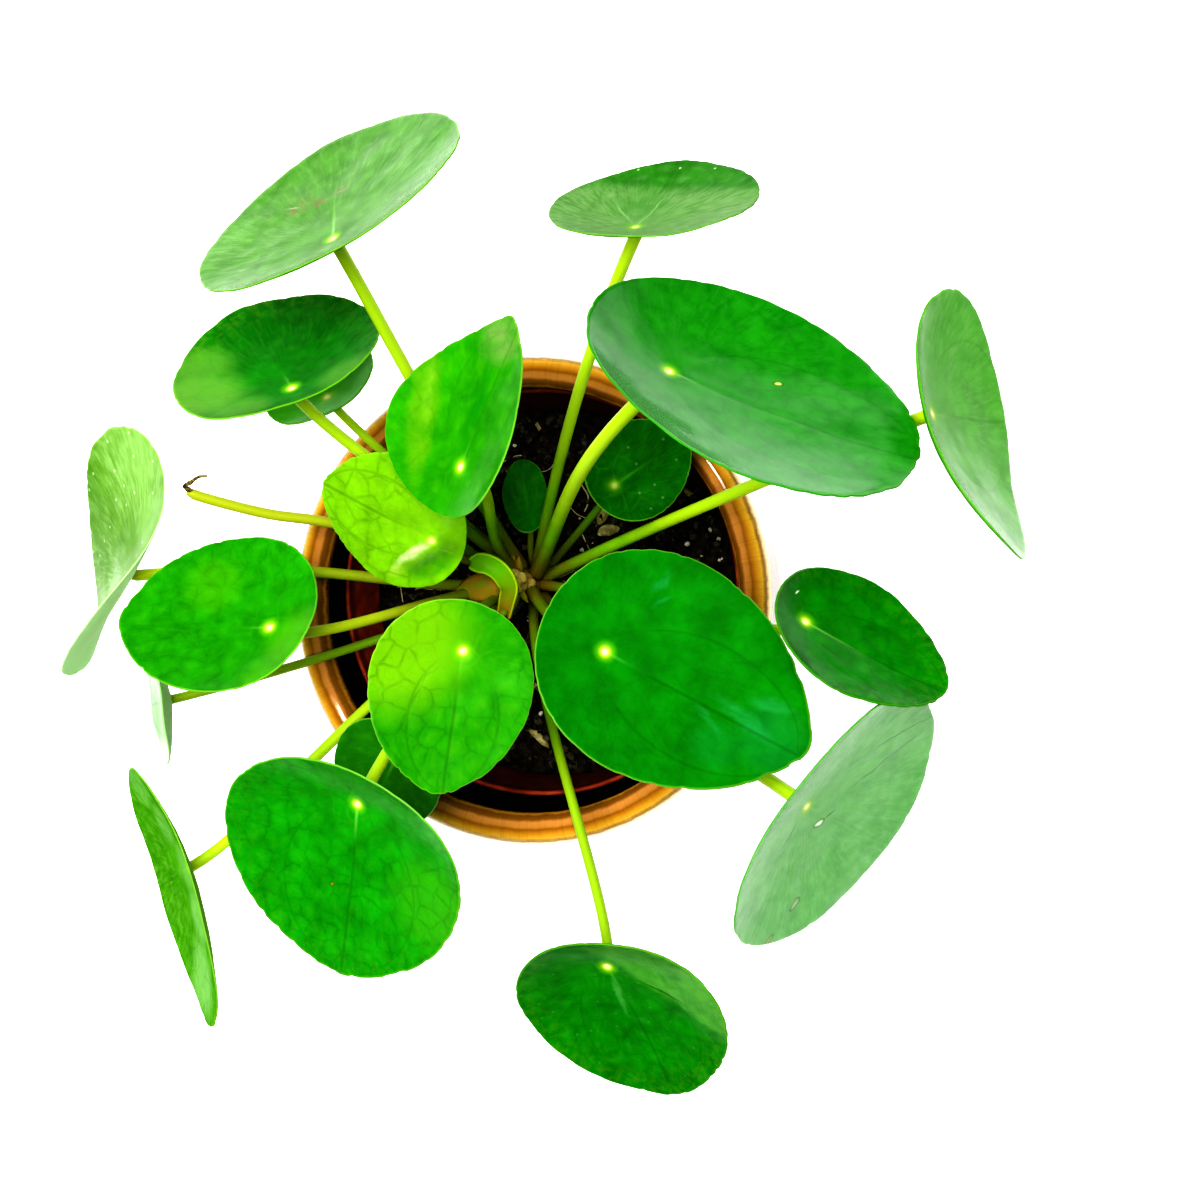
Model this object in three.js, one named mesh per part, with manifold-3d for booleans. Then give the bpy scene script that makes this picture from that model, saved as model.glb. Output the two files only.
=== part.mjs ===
import * as THREE from "three";
import { mergeVertices } from "three/addons/utils/BufferGeometryUtils.js";
import Module from "manifold-3d";

const wasm = await Module();
wasm.setup();

// A pilea in a thin plastic nursery pot that stands inside a glazed ceramic cachepot.
// Millimetres and degrees, +Z up. The origin is the centre of the cachepot's flat base.

// Room left between pieces that touch.
const gap = 0.3;

// Cachepot: a tapered bowl with a thick rolled lip, which is undercut inside and out.
const potHeight = 130;
const potRimRadius = 72.5;
const potNeckRadius = 69.5;
const potBaseRadius = 57;
const potWall = 5;
const potFloor = 8;
const potFootBevel = 2;
const potFloorBevel = 4;
const lipThickness = 9.5;
const lipDepth = 11;
const lipUndercut = 1;
const lipBevel = 3;
const lipFlare = 8;
const lipSteps = 8;
const potSides = 64;

// Nursery pot: it stands a little off the cachepot's centre.
const nurseryCentre = new THREE.Vector2(1.5, 2.5);
const nurseryRimRadius = 61;
const nurseryRimTop = 119.5;
const nurseryRimBand = 7;
const nurseryStep = 1.4;
const nurseryBaseRadius = 43;
const nurseryWall = 1.4;
const nurseryEdge = 0.5;
const nurseryFootBevel = 2;
const nurserySides = 48;
const drainHoleRadius = 3.5;
const drainHoles = 8;
const drainCircle = 30;

// Soil: its top lies below the nursery pot's rim, rough with crumbs and bark chips.
const soilTop = 101.5;
const soilRings = 6;
const soilSides = 36;
const soilBump = 0.9;
const soilSlack = 0.5;
const bareRing = 17;
const chipLength = [4, 10];
const chipWidth = [2, 4];
const chipThickness = 1.6;
const chipTilt = 0.35;
const barkChips = 22;
const crumbRadius = [1.3, 2.5];
const crumbs = 16;
const sunk = 0.25;

// Main stem: a short knobbly column that stands in a hole in the soil.
const stemCentre = new THREE.Vector2(-5, 5);
const stemRadius = 5;
const stemTipRadius = 2.2;
const stemTaperFrom = 106;
const stemFoot = 90;
const stemTop = 125;
const stemSides = 12;
const scarPitch = 5;
const scarDepth = 0.5;
const stipules = 4;
const stipuleFrom = 120;
const stipuleStep = 60;
const stipuleRadius = 1.6;
const stipuleHeight = 8;
const stipuleOut = 1.2;
const stipuleLean = 0.3;

// Leaves: peltate blades, each met from below by its petiole.
const bladeThickness = 0.9;
const bladeSpokes = 24;
const bladeRings = 4;
const bladeWaves = 5;
const bladeWaveHeight = 0.3;
const tipSpread = 0.3;
const petioleSteps = 12;
const petioleSides = 6;
const seatRoom = gap + 0.1;

// One entry a leaf.
// at is the middle of the blade where the petiole meets it.
// The blade leans by lean towards the azimuth toward, and its tip points to the azimuth tip.
// long and wide are its length and width, and back is the share of its length behind the petiole.
// cup lifts the rim, sides lifts both flanks, twist lifts one flank of the tip and drops the other.
// side shifts the outline across, egg widens its base and point draws out its tip.
// root is the azimuth and height where the petiole leaves the stem, thick its diameter.
// The petiole sets off at the angle rise for the length reach and ends over the length hold.
// square says how squarely it meets the blade: 1 is at a right angle, 0 straight from the stem.
// Where its last stretch bends otherwise, arrive gives the azimuth and drop back from the blade.
const plain = {
  cup: 3, sides: 0, twist: 0, side: 0, back: 0.27, egg: 0.12, point: 1.5,
  square: 0.5, arrive: null,
};
const leaves = [
  {
    at: [-34, 97, 205], lean: 53, toward: 116, tip: 112, long: 74, wide: 83, cup: 5, side: -1, back: 0.28,
    root: [110, 109], rise: 50, reach: 50, hold: 30, square: 0.1, thick: 3.6,
  },
  {
    at: [-54, 59, 182], lean: 50, toward: 97, tip: 136, long: 60, wide: 61, cup: 5,
    root: [126, 113], rise: 55, reach: 40, hold: 26, square: 0.3, thick: 3.4,
  },
  {
    at: [-54, 59, 152], lean: 40, toward: 105, tip: 130, long: 35, wide: 35, cup: 2, back: 0.28,
    root: [131, 103.6], rise: 45, reach: 35, hold: 16, thick: 2.6,
  },
  {
    at: [48, 98, 200], lean: 60, toward: 92, tip: 72, long: 54, wide: 57, cup: 4, side: -3, back: 0.3,
    root: [62, 108], rise: 50, reach: 45, arrive: [-125, 34], hold: 40, thick: 3.4,
  },
  {
    at: [-2, 36, 192], lean: 36, toward: 160, tip: 66, long: 54, wide: 49, cup: 0, sides: 6, side: 4,
    egg: 0.25, point: 4,
    root: [114, 119], rise: 60, reach: 25, hold: 22, thick: 3.2,
  },
  {
    at: [-17, 17, 168], lean: 22, toward: 240, tip: 155, long: 46, wide: 40, cup: -2, back: 0.2,
    root: [152, 118], rise: 15, reach: 12, arrive: [137, 85], hold: 30, thick: 2.8,
  },
  {
    at: [59, 59, 210], lean: 56, toward: 55, tip: -26, long: 94, wide: 76, cup: 8, egg: 0, point: 0,
    root: [40, 114], rise: 58, reach: 45, arrive: [-146, 25], hold: 45, thick: 4,
  },
  {
    at: [124, 49, 182], lean: 72, toward: 16, tip: -5, long: 54, wide: 75, cup: 4, sides: 7, twist: 6,
    side: -5,
    root: [20, 108], rise: 40, reach: 50, hold: 30, thick: 3.6,
  },
  {
    at: [37, -14, 188], lean: 29, toward: 36, tip: -30, long: 78, wide: 64, back: 0.25, side: 3,
    egg: 0.15, point: 3,
    root: [-35, 118], rise: 60, reach: 25, hold: 25, thick: 3.6,
  },
  {
    at: [89, -6, 172], lean: 54, toward: 50, tip: -32, long: 52, wide: 45, cup: 4, side: 1.5, back: 0.2,
    root: [-5, 110], rise: 45, reach: 40, hold: 20, thick: 3,
  },
  {
    at: [89, -56, 170], lean: 66, toward: -34, tip: -38, long: 65, wide: 84, cup: 4, back: 0.28, point: 0,
    root: [-44, 106], rise: 45, reach: 50, hold: 20, thick: 3.8,
  },
  {
    at: [31, -103, 158], lean: 41, toward: -100, tip: -67, long: 64, wide: 62, cup: 6, back: 0.25,
    root: [-73, 108], rise: 55, reach: 45, hold: 22, square: 0.4, thick: 3.6,
  },
  {
    at: [-40, -58, 166], lean: 28, toward: -125, tip: -102, long: 70, wide: 80, cup: 5, side: -2, back: 0.2,
    root: [-128, 110], rise: 55, reach: 35, arrive: [82, 50], hold: 22, thick: 3.6,
  },
  {
    at: [-5, -14, 180], lean: 20, toward: -35, tip: -101, long: 55, wide: 46, cup: 2, side: -2,
    root: [-140, 120], rise: 70, reach: 25, hold: 18, thick: 3,
  },
  {
    at: [-65, -8, 170], lean: 32, toward: 100, tip: 182, long: 61, wide: 52, cup: 4, side: -3, back: 0.25,
    root: [190, 116], rise: 55, reach: 30, hold: 20, thick: 3.2,
  },
  {
    at: [-116, 8, 150], lean: 58, toward: 152, tip: 180, long: 54, wide: 76, sides: 7, twist: -22,
    side: -3,
    root: [184, 110], rise: 42, reach: 38, arrive: [6, 24], hold: 60, thick: 3.4,
  },
  {
    at: [-108, -30, 140], lean: 62, toward: 190, tip: 190, long: 36, wide: 38,
    root: [206, 108], rise: 45, reach: 45, hold: 22, thick: 2.8,
  },
  {
    at: [-101, -80, 142], lean: 56, toward: 200, tip: 205, long: 54, wide: 82, sides: 3, side: 6,
    root: [214, 104], rise: 52, reach: 50, hold: 24, thick: 3.4,
  },
  {
    at: [-37, -46, 138], lean: 15, toward: -130, tip: -120, long: 34, wide: 36, cup: 2, back: 0.3,
    root: [-122, 103], rise: 45, reach: 22, hold: 14, thick: 2.4,
  },
  {
    at: [29, 33, 140], lean: 10, toward: 30, tip: 35, long: 32, wide: 29, cup: 2, back: 0.22,
    root: [38, 104], rise: 50, reach: 18, hold: 12, thick: 2.4,
  },
  {
    at: [-2, 26, 119], lean: 12, toward: 100, tip: 100, long: 23, wide: 14, cup: 1, egg: 0, point: 0,
    root: [85, 104], rise: 60, reach: 9, hold: 7, thick: 2,
  },
];

// The petiole that lost its blade, from its root on the stem to its dried, hooked tip.
const bareRoot = [164, 103];
const bareRise = 40;
const bareThick = 3.2;
const barePath = [
  [-33, 17, 125],
  [-58, 23, 138],
  [-75, 25.5, 145],
  [-92, 30, 151],
  [-97, 32, 153],
];
const driedThick = 1.3;
const driedPath = [
  [-95.5, 31.5, 152.5],
  [-97, 33.5, 155],
  [-93, 34, 157],
  [-91, 36, 158],
  [-88, 36.5, 157.5],
];

// The youngest leaf, still folded flat on itself, hooks over the stem's top on a short stalk.
const foldedRoot = [247, 115];
const foldedRise = 45;
const foldedStalkThick = 2;
const foldedStalkSteps = 8;
const foldedStalk = [
  [-7, -4, 121],
  [-7.2, -5.2, 126],
  [-6.6, -3.6, 130.5],
];
const foldedPath = [
  [-7, -4.8, 129],
  [-5.4, -0.5, 131.5],
  [-4.2, 3.8, 134],
  [-6.3, 8.2, 136],
  [-10.2, 10.6, 137],
  [-15, 10.8, 137],
];
const foldedWidth = 5.5;
const foldedThickness = 1.6;
const foldedSteps = 14;

const colours = {
  glaze: { color: 0xc47f12, roughness: 0.12, metalness: 0 },
  plastic: { color: 0x5e1e10, roughness: 0.45, metalness: 0 },
  soil: { color: 0x17120d, roughness: 0.95, metalness: 0 },
  bark: { color: 0x9a5a1e, roughness: 0.7, metalness: 0 },
  blade: { color: 0x1f9a12, roughness: 0.35, metalness: 0 },
  youngBlade: { color: 0x74d81a, roughness: 0.35, metalness: 0 },
  petiole: { color: 0xa4b83a, roughness: 0.45, metalness: 0 },
};
const youngLeaves = [5, 6, 14];

const radians = THREE.MathUtils.degToRad;

// A unit vector at an azimuth, raised by a rise angle.
function heading(azimuth, rise) {
  const a = radians(azimuth);
  const r = radians(rise);
  return new THREE.Vector3(Math.cos(a) * Math.cos(r), Math.sin(a) * Math.cos(r), Math.sin(r));
}

// Solids for joining and cutting, and back to geometry.
function solidOf(geometry) {
  const bare = geometry.clone();
  bare.deleteAttribute("normal");
  bare.deleteAttribute("uv");
  const merged = mergeVertices(bare, 1e-4);
  return new wasm.Manifold(
    new wasm.Mesh({
      numProp: 3,
      vertProperties: new Float32Array(merged.attributes.position.array),
      triVerts: new Uint32Array(merged.index.array),
    }),
  );
}

function geometryOf(solid) {
  const mesh = solid.getMesh();
  const geometry = new THREE.BufferGeometry();
  geometry.setAttribute("position", new THREE.BufferAttribute(mesh.vertProperties, 3));
  geometry.setIndex(new THREE.BufferAttribute(mesh.triVerts, 1));
  geometry.computeVertexNormals();
  return geometry;
}

const group = new THREE.Group();

function place(name, geometry, finish) {
  const mesh = new THREE.Mesh(geometry, new THREE.MeshStandardMaterial(finish));
  mesh.name = name;
  group.add(mesh);
  return mesh;
}

// A body of revolution round +Z from [radius, height] pairs that start and end on the axis.
function turned(profile, sides) {
  const points = profile.map(([radius, height]) => new THREE.Vector2(radius, height));
  return new THREE.LatheGeometry(points, sides).rotateX(Math.PI / 2);
}

function cachepot() {
  const lipFoot = potHeight - lipDepth;
  const neckInside = potNeckRadius - potWall;
  const baseInside = potBaseRadius - potWall;
  const roll = lipThickness / 2;
  const profile = [
    [0, 0],
    [potBaseRadius - potFootBevel, 0],
    [potBaseRadius, potFootBevel],
    [potNeckRadius, lipFoot - lipBevel],
    [potRimRadius - lipUndercut, lipFoot],
  ];
  for (let i = 0; i <= lipSteps; i += 1) {
    const turn = (Math.PI * i) / lipSteps;
    profile.push([
      potRimRadius - roll + roll * Math.cos(turn),
      potHeight - roll + roll * Math.sin(turn),
    ]);
  }
  profile.push([neckInside, lipFoot + lipBevel]);
  profile.push([neckInside, lipFoot - lipFlare]);
  profile.push([baseInside, potFloor + potFloorBevel]);
  profile.push([baseInside - potFloorBevel, potFloor]);
  profile.push([0, potFloor]);
  place("cachepot", turned(profile, potSides), colours.glaze);
}

// Nursery pot: its outer radius at a height, used by the soil too.
const nurseryFoot = potFloor + gap;
const nurseryBandFoot = nurseryRimTop - nurseryRimBand;

function nurseryRadius(height) {
  const share = (height - nurseryFoot) / (nurseryBandFoot - nurseryFoot);
  return THREE.MathUtils.lerp(nurseryBaseRadius, nurseryRimRadius - nurseryStep, share);
}

function nurseryPot() {
  const floorTop = nurseryFoot + nurseryWall;
  const bandIn = nurseryRimRadius - nurseryWall;
  const bevelTop = nurseryFoot + nurseryFootBevel;
  const profile = [
    [0, nurseryFoot],
    [nurseryBaseRadius - nurseryFootBevel, nurseryFoot],
    [nurseryRadius(bevelTop), bevelTop],
    [nurseryRadius(nurseryBandFoot), nurseryBandFoot],
    [nurseryRimRadius, nurseryBandFoot + nurseryEdge],
    [nurseryRimRadius, nurseryRimTop - nurseryEdge],
    [nurseryRimRadius - nurseryEdge, nurseryRimTop],
    [bandIn + nurseryEdge, nurseryRimTop],
    [bandIn, nurseryRimTop - nurseryEdge],
    [bandIn, nurseryBandFoot + nurseryWall],
    [nurseryRadius(nurseryBandFoot) - nurseryWall, nurseryBandFoot - nurseryEdge],
    [nurseryRadius(floorTop) - nurseryWall, floorTop],
    [0, floorTop],
  ];
  let solid = solidOf(turned(profile, nurserySides));
  const drill = new THREE.CylinderGeometry(drainHoleRadius, drainHoleRadius, 4 * nurseryWall, 10);
  drill.rotateX(Math.PI / 2);
  for (let i = 0; i < drainHoles; i += 1) {
    const at = heading((360 / drainHoles) * i, 0).multiplyScalar(drainCircle);
    solid = solid.subtract(solidOf(drill.clone().translate(at.x, at.y, nurseryFoot)));
  }
  const mesh = place("nursery_pot", geometryOf(solid), colours.plastic);
  mesh.position.set(nurseryCentre.x, nurseryCentre.y, 0);
}

// Repeatable draws between two values.
const draws = 2147483647;
let seed = 41;
function between([low, high]) {
  seed = (seed * 16807) % draws;
  return low + (high - low) * (seed / draws);
}

function soilHeight(x, y) {
  const ripple = Math.sin(x * 0.31 + 1) * Math.cos(y * 0.27) + Math.sin(x * 0.12 - y * 0.19 + 2);
  return soilTop + soilBump * 0.5 * ripple;
}

// Soil: a plug with a rough top, with chips and crumbs half sunk in it and a hole for the stem.
function soil() {
  const bottom = nurseryFoot + nurseryWall + gap;
  const inset = nurseryWall + gap + soilSlack;
  const rimRadius = nurseryRadius(soilTop + soilBump) - inset;
  const footRadius = nurseryRadius(bottom) - inset;
  const profile = [
    [0, bottom],
    [footRadius, bottom],
    [rimRadius, soilTop],
  ];
  for (let ring = soilRings - 1; ring > 0; ring -= 1) {
    profile.push([(rimRadius * ring) / soilRings, soilTop]);
  }
  profile.push([0, soilTop]);
  const plug = turned(profile, soilSides);
  const places = plug.attributes.position;
  for (let i = 0; i < places.count; i += 1) {
    if (places.getZ(i) > soilTop - 1) {
      places.setZ(i, soilHeight(places.getX(i), places.getY(i)));
    }
  }
  let solid = solidOf(plug);
  const scatter = (geometry) => {
    const angle = between([0, 2 * Math.PI]);
    const out = between([bareRing, rimRadius - chipLength[1] / 2 - chipWidth[0]]);
    const x = out * Math.cos(angle);
    const y = out * Math.sin(angle);
    const tilt = [-chipTilt, chipTilt];
    geometry.rotateZ(between([0, 2 * Math.PI])).rotateX(between(tilt)).rotateY(between(tilt));
    solid = solid.add(solidOf(geometry.translate(x, y, soilHeight(x, y) + sunk)));
  };
  for (let i = 0; i < barkChips; i += 1) {
    scatter(new THREE.BoxGeometry(between(chipLength), between(chipWidth), chipThickness));
  }
  for (let i = 0; i < crumbs; i += 1) {
    scatter(new THREE.OctahedronGeometry(between(crumbRadius)));
  }
  const depth = 2 * (soilTop - stemFoot) + 2 * chipLength[1];
  const room = stemRadius + soilSlack;
  const hole = new THREE.CylinderGeometry(room, room, depth, stemSides).rotateX(Math.PI / 2);
  const offset = stemCentre.clone().sub(nurseryCentre);
  hole.translate(offset.x, offset.y, stemFoot - gap + depth / 2);
  solid = solid.subtract(solidOf(hole));
  const mesh = place("soil", geometryOf(solid), colours.soil);
  mesh.position.set(nurseryCentre.x, nurseryCentre.y, 0);
}

// The stem narrows to its growing tip.
function stemRadiusAt(height) {
  const share = THREE.MathUtils.clamp((height - stemTaperFrom) / (stemTop - stemTaperFrom), 0, 1);
  return THREE.MathUtils.lerp(stemRadius, stemTipRadius, share);
}

// Main stem: rings of old leaf scars, and dry stipules round its top.
function mainStem() {
  const profile = [
    [0, stemFoot],
    [stemRadius - 2 * scarDepth, stemFoot],
  ];
  for (let ridge = stemFoot + scarPitch; ridge < stemTop; ridge += scarPitch) {
    const valley = ridge - scarPitch / 2;
    profile.push([stemRadiusAt(valley) - scarDepth, valley], [stemRadiusAt(ridge), ridge]);
  }
  profile.push([0, stemTop]);
  let solid = solidOf(turned(profile, stemSides));
  const stipule = new THREE.ConeGeometry(stipuleRadius, stipuleHeight, 5).rotateX(Math.PI / 2);
  stipule.rotateY(stipuleLean);
  for (let i = 0; i < stipules; i += 1) {
    const azimuth = stipuleFrom + i * stipuleStep;
    const at = heading(azimuth, 0).multiplyScalar(stipuleOut);
    const one = stipule.clone().rotateZ(radians(azimuth)).translate(at.x, at.y, stemTop);
    solid = solid.add(solidOf(one));
  }
  const mesh = place("main_stem", geometryOf(solid), colours.bark);
  mesh.position.set(stemCentre.x, stemCentre.y, 0);
}

// A blade's own axes: towards its tip, across it, and out of its upper face.
function bladeAxes(leaf) {
  const out = heading(leaf.toward, 90 - leaf.lean);
  const along = heading(leaf.tip, 0);
  along.z = -Math.tan(radians(leaf.lean)) * Math.cos(radians(leaf.tip - leaf.toward));
  along.normalize();
  return { along, across: new THREE.Vector3().crossVectors(out, along), out };
}

// A point of a blade's middle surface: share runs from the petiole to the rim, turn goes round.
function bladePoint(leaf, axes, share, turn) {
  const behind = leaf.back * leaf.long;
  const centre = leaf.long / 2 - behind;
  const wrapped = turn > Math.PI ? turn - 2 * Math.PI : turn;
  const drawn = leaf.point * Math.exp(-((wrapped / tipSpread) ** 2));
  const rimX = centre + (leaf.long / 2) * Math.cos(turn) + drawn;
  const rimY = (leaf.wide / 2) * Math.sin(turn) * (1 - leaf.egg * Math.cos(turn)) + leaf.side;
  const x = rimX * share;
  const y = rimY * share;
  const flank = y / (leaf.wide / 2);
  const front = x / (leaf.long - behind);
  const wave = bladeWaveHeight * share ** 3 * Math.sin(bladeWaves * turn);
  const dish = leaf.cup * share ** 1.8;
  const lift = dish + leaf.sides * flank ** 2 + leaf.twist * front * flank + wave;
  return new THREE.Vector3(...leaf.at)
    .addScaledVector(axes.along, x)
    .addScaledVector(axes.across, y)
    .addScaledVector(axes.out, lift);
}

// A blade: one dished sheet, split into triangles alike on both faces.
function blade(leaf) {
  const axes = bladeAxes(leaf);
  const sheet = [bladePoint(leaf, axes, 0, 0)];
  for (let ring = 1; ring <= bladeRings; ring += 1) {
    for (let spoke = 0; spoke < bladeSpokes; spoke += 1) {
      sheet.push(bladePoint(leaf, axes, ring / bladeRings, (2 * Math.PI * spoke) / bladeSpokes));
    }
  }
  const half = axes.out.clone().multiplyScalar(bladeThickness / 2);
  const upper = sheet.map((p) => p.clone().add(half));
  const lower = sheet.map((p) => p.clone().sub(half));
  const faces = [];
  const both = (a, b, c) => {
    faces.push(a, b, c, a + sheet.length, c + sheet.length, b + sheet.length);
  };
  const index = (ring, spoke) => 1 + (ring - 1) * bladeSpokes + (spoke % bladeSpokes);
  for (let spoke = 0; spoke < bladeSpokes; spoke += 1) {
    both(0, index(1, spoke), index(1, spoke + 1));
    for (let ring = 1; ring < bladeRings; ring += 1) {
      both(index(ring, spoke), index(ring + 1, spoke), index(ring + 1, spoke + 1));
      both(index(ring, spoke), index(ring + 1, spoke + 1), index(ring, spoke + 1));
    }
    const here = index(bladeRings, spoke);
    const next = index(bladeRings, spoke + 1);
    faces.push(here, here + sheet.length, next + sheet.length);
    faces.push(here, next + sheet.length, next);
  }
  const geometry = new THREE.BufferGeometry().setFromPoints([...upper, ...lower]);
  geometry.setIndex(faces);
  geometry.computeVertexNormals();
  return geometry;
}

// A round stalk along a curve.
function stalk(curve, thick, steps) {
  const corners = [];
  for (let i = 0; i < petioleSides; i += 1) {
    const turn = (2 * Math.PI * i) / petioleSides;
    corners.push(new THREE.Vector2((thick / 2) * Math.cos(turn), (thick / 2) * Math.sin(turn)));
  }
  const options = { steps, extrudePath: curve, bevelEnabled: false };
  return new THREE.ExtrudeGeometry(new THREE.Shape(corners), options);
}

// Where a stalk starts, just off the stem's side.
function rootPoint([azimuth, height], rise, thick) {
  const off = stemRadiusAt(height) + seatRoom + (thick / 2) * Math.sin(radians(rise));
  const at = heading(azimuth, 0).multiplyScalar(off);
  return new THREE.Vector3(stemCentre.x + at.x, stemCentre.y + at.y, height);
}

// A petiole rises from the stem and turns up into the underside of its blade.
function petiole(leaf) {
  const { out } = bladeAxes(leaf);
  const root = rootPoint(leaf.root, leaf.rise, leaf.thick);
  const joint = new THREE.Vector3(...leaf.at);
  const back = root.clone().sub(joint).normalize();
  const leave = leaf.arrive
    ? heading(leaf.arrive[0], -leaf.arrive[1])
    : back.multiplyScalar(1 - leaf.square).addScaledVector(out, -leaf.square).normalize();
  const slant = Math.sqrt(Math.max(0, 1 - leave.dot(out) ** 2));
  const clear = bladeThickness / 2 + seatRoom + (leaf.thick / 2) * slant;
  const end = joint.clone().addScaledVector(out, -clear);
  const curve = new THREE.CubicBezierCurve3(
    root,
    root.clone().addScaledVector(heading(leaf.root[0], leaf.rise), leaf.reach),
    end.clone().addScaledVector(leave, leaf.hold),
    end,
  );
  return stalk(curve, leaf.thick, petioleSteps);
}

function twoDigits(number) {
  return String(number).padStart(2, "0");
}

function foliage() {
  leaves.forEach((entry, i) => {
    const leaf = { ...plain, ...entry };
    const name = "leaf_" + twoDigits(i + 1);
    const green = youngLeaves.includes(i + 1) ? colours.youngBlade : colours.blade;
    place(name + "_petiole", petiole(leaf), colours.petiole);
    place(name + "_blade", blade(leaf), green);
  });
}

function smoothThrough(start, path) {
  const points = path.map((p) => new THREE.Vector3(...p));
  return new THREE.CatmullRomCurve3(start ? [start, ...points] : points);
}

// The petiole without a blade ends in a thin dried hook.
function barePetiole() {
  const root = rootPoint(bareRoot, bareRise, bareThick);
  const live = solidOf(stalk(smoothThrough(root, barePath), bareThick, petioleSteps));
  const dried = solidOf(stalk(smoothThrough(null, driedPath), driedThick, petioleSteps));
  place("bare_petiole", geometryOf(live.add(dried)), colours.petiole);
}

// A flat strap along a curve, its width level, with six corners in its section.
// It starts at two thirds of its width and reaches the full width halfway.
function strap(curve, width, thickness, steps) {
  const up = new THREE.Vector3(0, 0, 1);
  const corners = [[1, 0], [0.6, 1], [-0.6, 1], [-1, 0], [-0.6, -1], [0.6, -1]];
  const points = [];
  for (let i = 0; i <= steps; i += 1) {
    const share = i / steps;
    const middle = curve.getPoint(share);
    const ahead = curve.getTangent(share);
    const level = new THREE.Vector3().crossVectors(ahead, up).normalize();
    const rise = new THREE.Vector3().crossVectors(level, ahead);
    const half = (width / 2) * THREE.MathUtils.lerp(2 / 3, 1, Math.min(1, 2 * share));
    corners.forEach(([x, y]) => {
      const corner = middle.clone().addScaledVector(level, x * half);
      points.push(corner.addScaledVector(rise, (y * thickness) / 2));
    });
  }
  const count = corners.length;
  const faces = [];
  for (let i = 0; i < steps; i += 1) {
    for (let j = 0; j < count; j += 1) {
      const a = i * count + j;
      const b = i * count + ((j + 1) % count);
      faces.push(a, b + count, b, a, a + count, b + count);
    }
  }
  for (let j = 1; j < count - 1; j += 1) {
    faces.push(0, j, j + 1, steps * count, steps * count + j + 1, steps * count + j);
  }
  const geometry = new THREE.BufferGeometry().setFromPoints(points);
  geometry.setIndex(faces);
  return geometry;
}

function foldedLeaf() {
  const root = rootPoint(foldedRoot, foldedRise, foldedStalkThick);
  const stem = stalk(smoothThrough(root, foldedStalk), foldedStalkThick, foldedStalkSteps);
  const leaf = strap(smoothThrough(null, foldedPath), foldedWidth, foldedThickness, foldedSteps);
  place("folded_leaf", geometryOf(solidOf(stem).add(solidOf(leaf))), colours.youngBlade);
}

cachepot();
nurseryPot();
soil();
mainStem();
foliage();
barePetiole();
foldedLeaf();

export default group;
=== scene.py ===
import math
import random

import bmesh
import bpy
from mathutils import Matrix, Vector, noise


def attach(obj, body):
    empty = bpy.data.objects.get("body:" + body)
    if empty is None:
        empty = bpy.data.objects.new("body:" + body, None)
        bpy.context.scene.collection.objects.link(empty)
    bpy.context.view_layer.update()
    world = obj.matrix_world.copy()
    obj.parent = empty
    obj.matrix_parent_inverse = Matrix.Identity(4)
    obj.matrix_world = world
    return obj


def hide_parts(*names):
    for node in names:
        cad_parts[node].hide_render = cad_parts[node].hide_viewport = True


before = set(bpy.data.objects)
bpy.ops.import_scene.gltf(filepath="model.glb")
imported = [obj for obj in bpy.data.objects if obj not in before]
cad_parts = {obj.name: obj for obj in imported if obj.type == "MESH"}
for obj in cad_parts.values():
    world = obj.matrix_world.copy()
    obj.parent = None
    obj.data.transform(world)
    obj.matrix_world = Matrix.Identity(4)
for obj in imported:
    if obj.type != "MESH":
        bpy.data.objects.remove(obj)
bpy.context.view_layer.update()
mm = 0.001
print("frame loaded:", len(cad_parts), "CAD nodes")


# sRGB hex to the linear colour that a socket takes
def linearColour(hexText):
    channels = [int(hexText[i:i + 2], 16) / 255 for i in (0, 2, 4)]
    return [c / 12.92 if c <= 0.04045 else ((c + 0.055) / 1.055) ** 2.4 for c in channels] + [1]


# adds one node with its settings and ramp stops; an input is a value, a hex colour, a socket, or a node,
# of which it takes the first output in use
def addNode(tree, kind, inputs=None, stops=None, **settings):
    node = tree.nodes.new("ShaderNode" + kind)
    for name, value in settings.items():
        setattr(node, name, value)
    for key, value in (inputs or {}).items():
        if isinstance(value, bpy.types.Node):
            value = next(output for output in value.outputs if output.enabled)
        if isinstance(value, bpy.types.NodeSocket):
            tree.links.new(value, node.inputs[key])
        else:
            node.inputs[key].default_value = linearColour(value) if isinstance(value, str) else value
    if stops:
        ramp = node.color_ramp
        while len(ramp.elements) < len(stops):
            ramp.elements.new(1)
        for element, (position, colour) in zip(ramp.elements, stops):
            element.position = position
            element.color = linearColour(colour)
    return node


def newMaterial(name):
    material = bpy.data.materials.new(name)
    material.use_nodes = True
    material.node_tree.nodes.clear()
    return material, material.node_tree


# scale of a texture in metre coordinates whose features are size millimetres apart
def perSize(size):
    return 1 / (size * mm)


def smoothstep(low, high, value):
    t = min(max((value - low) / (high - low), 0), 1)
    return t * t * (3 - 2 * t)


# a bmesh becomes a smooth object at the origin
def finishPiece(name, bm, materials, replaced=(), flat=False):
    mesh = bpy.data.meshes.new(name)
    bm.to_mesh(mesh)
    bm.free()
    for material in materials:
        mesh.materials.append(material)
    for polygon in mesh.polygons:
        polygon.use_smooth = not flat
    piece = bpy.data.objects.new(name, mesh)
    bpy.context.scene.collection.objects.link(piece)
    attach(piece, "root")
    if replaced:
        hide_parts(*replaced)
    return piece


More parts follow.
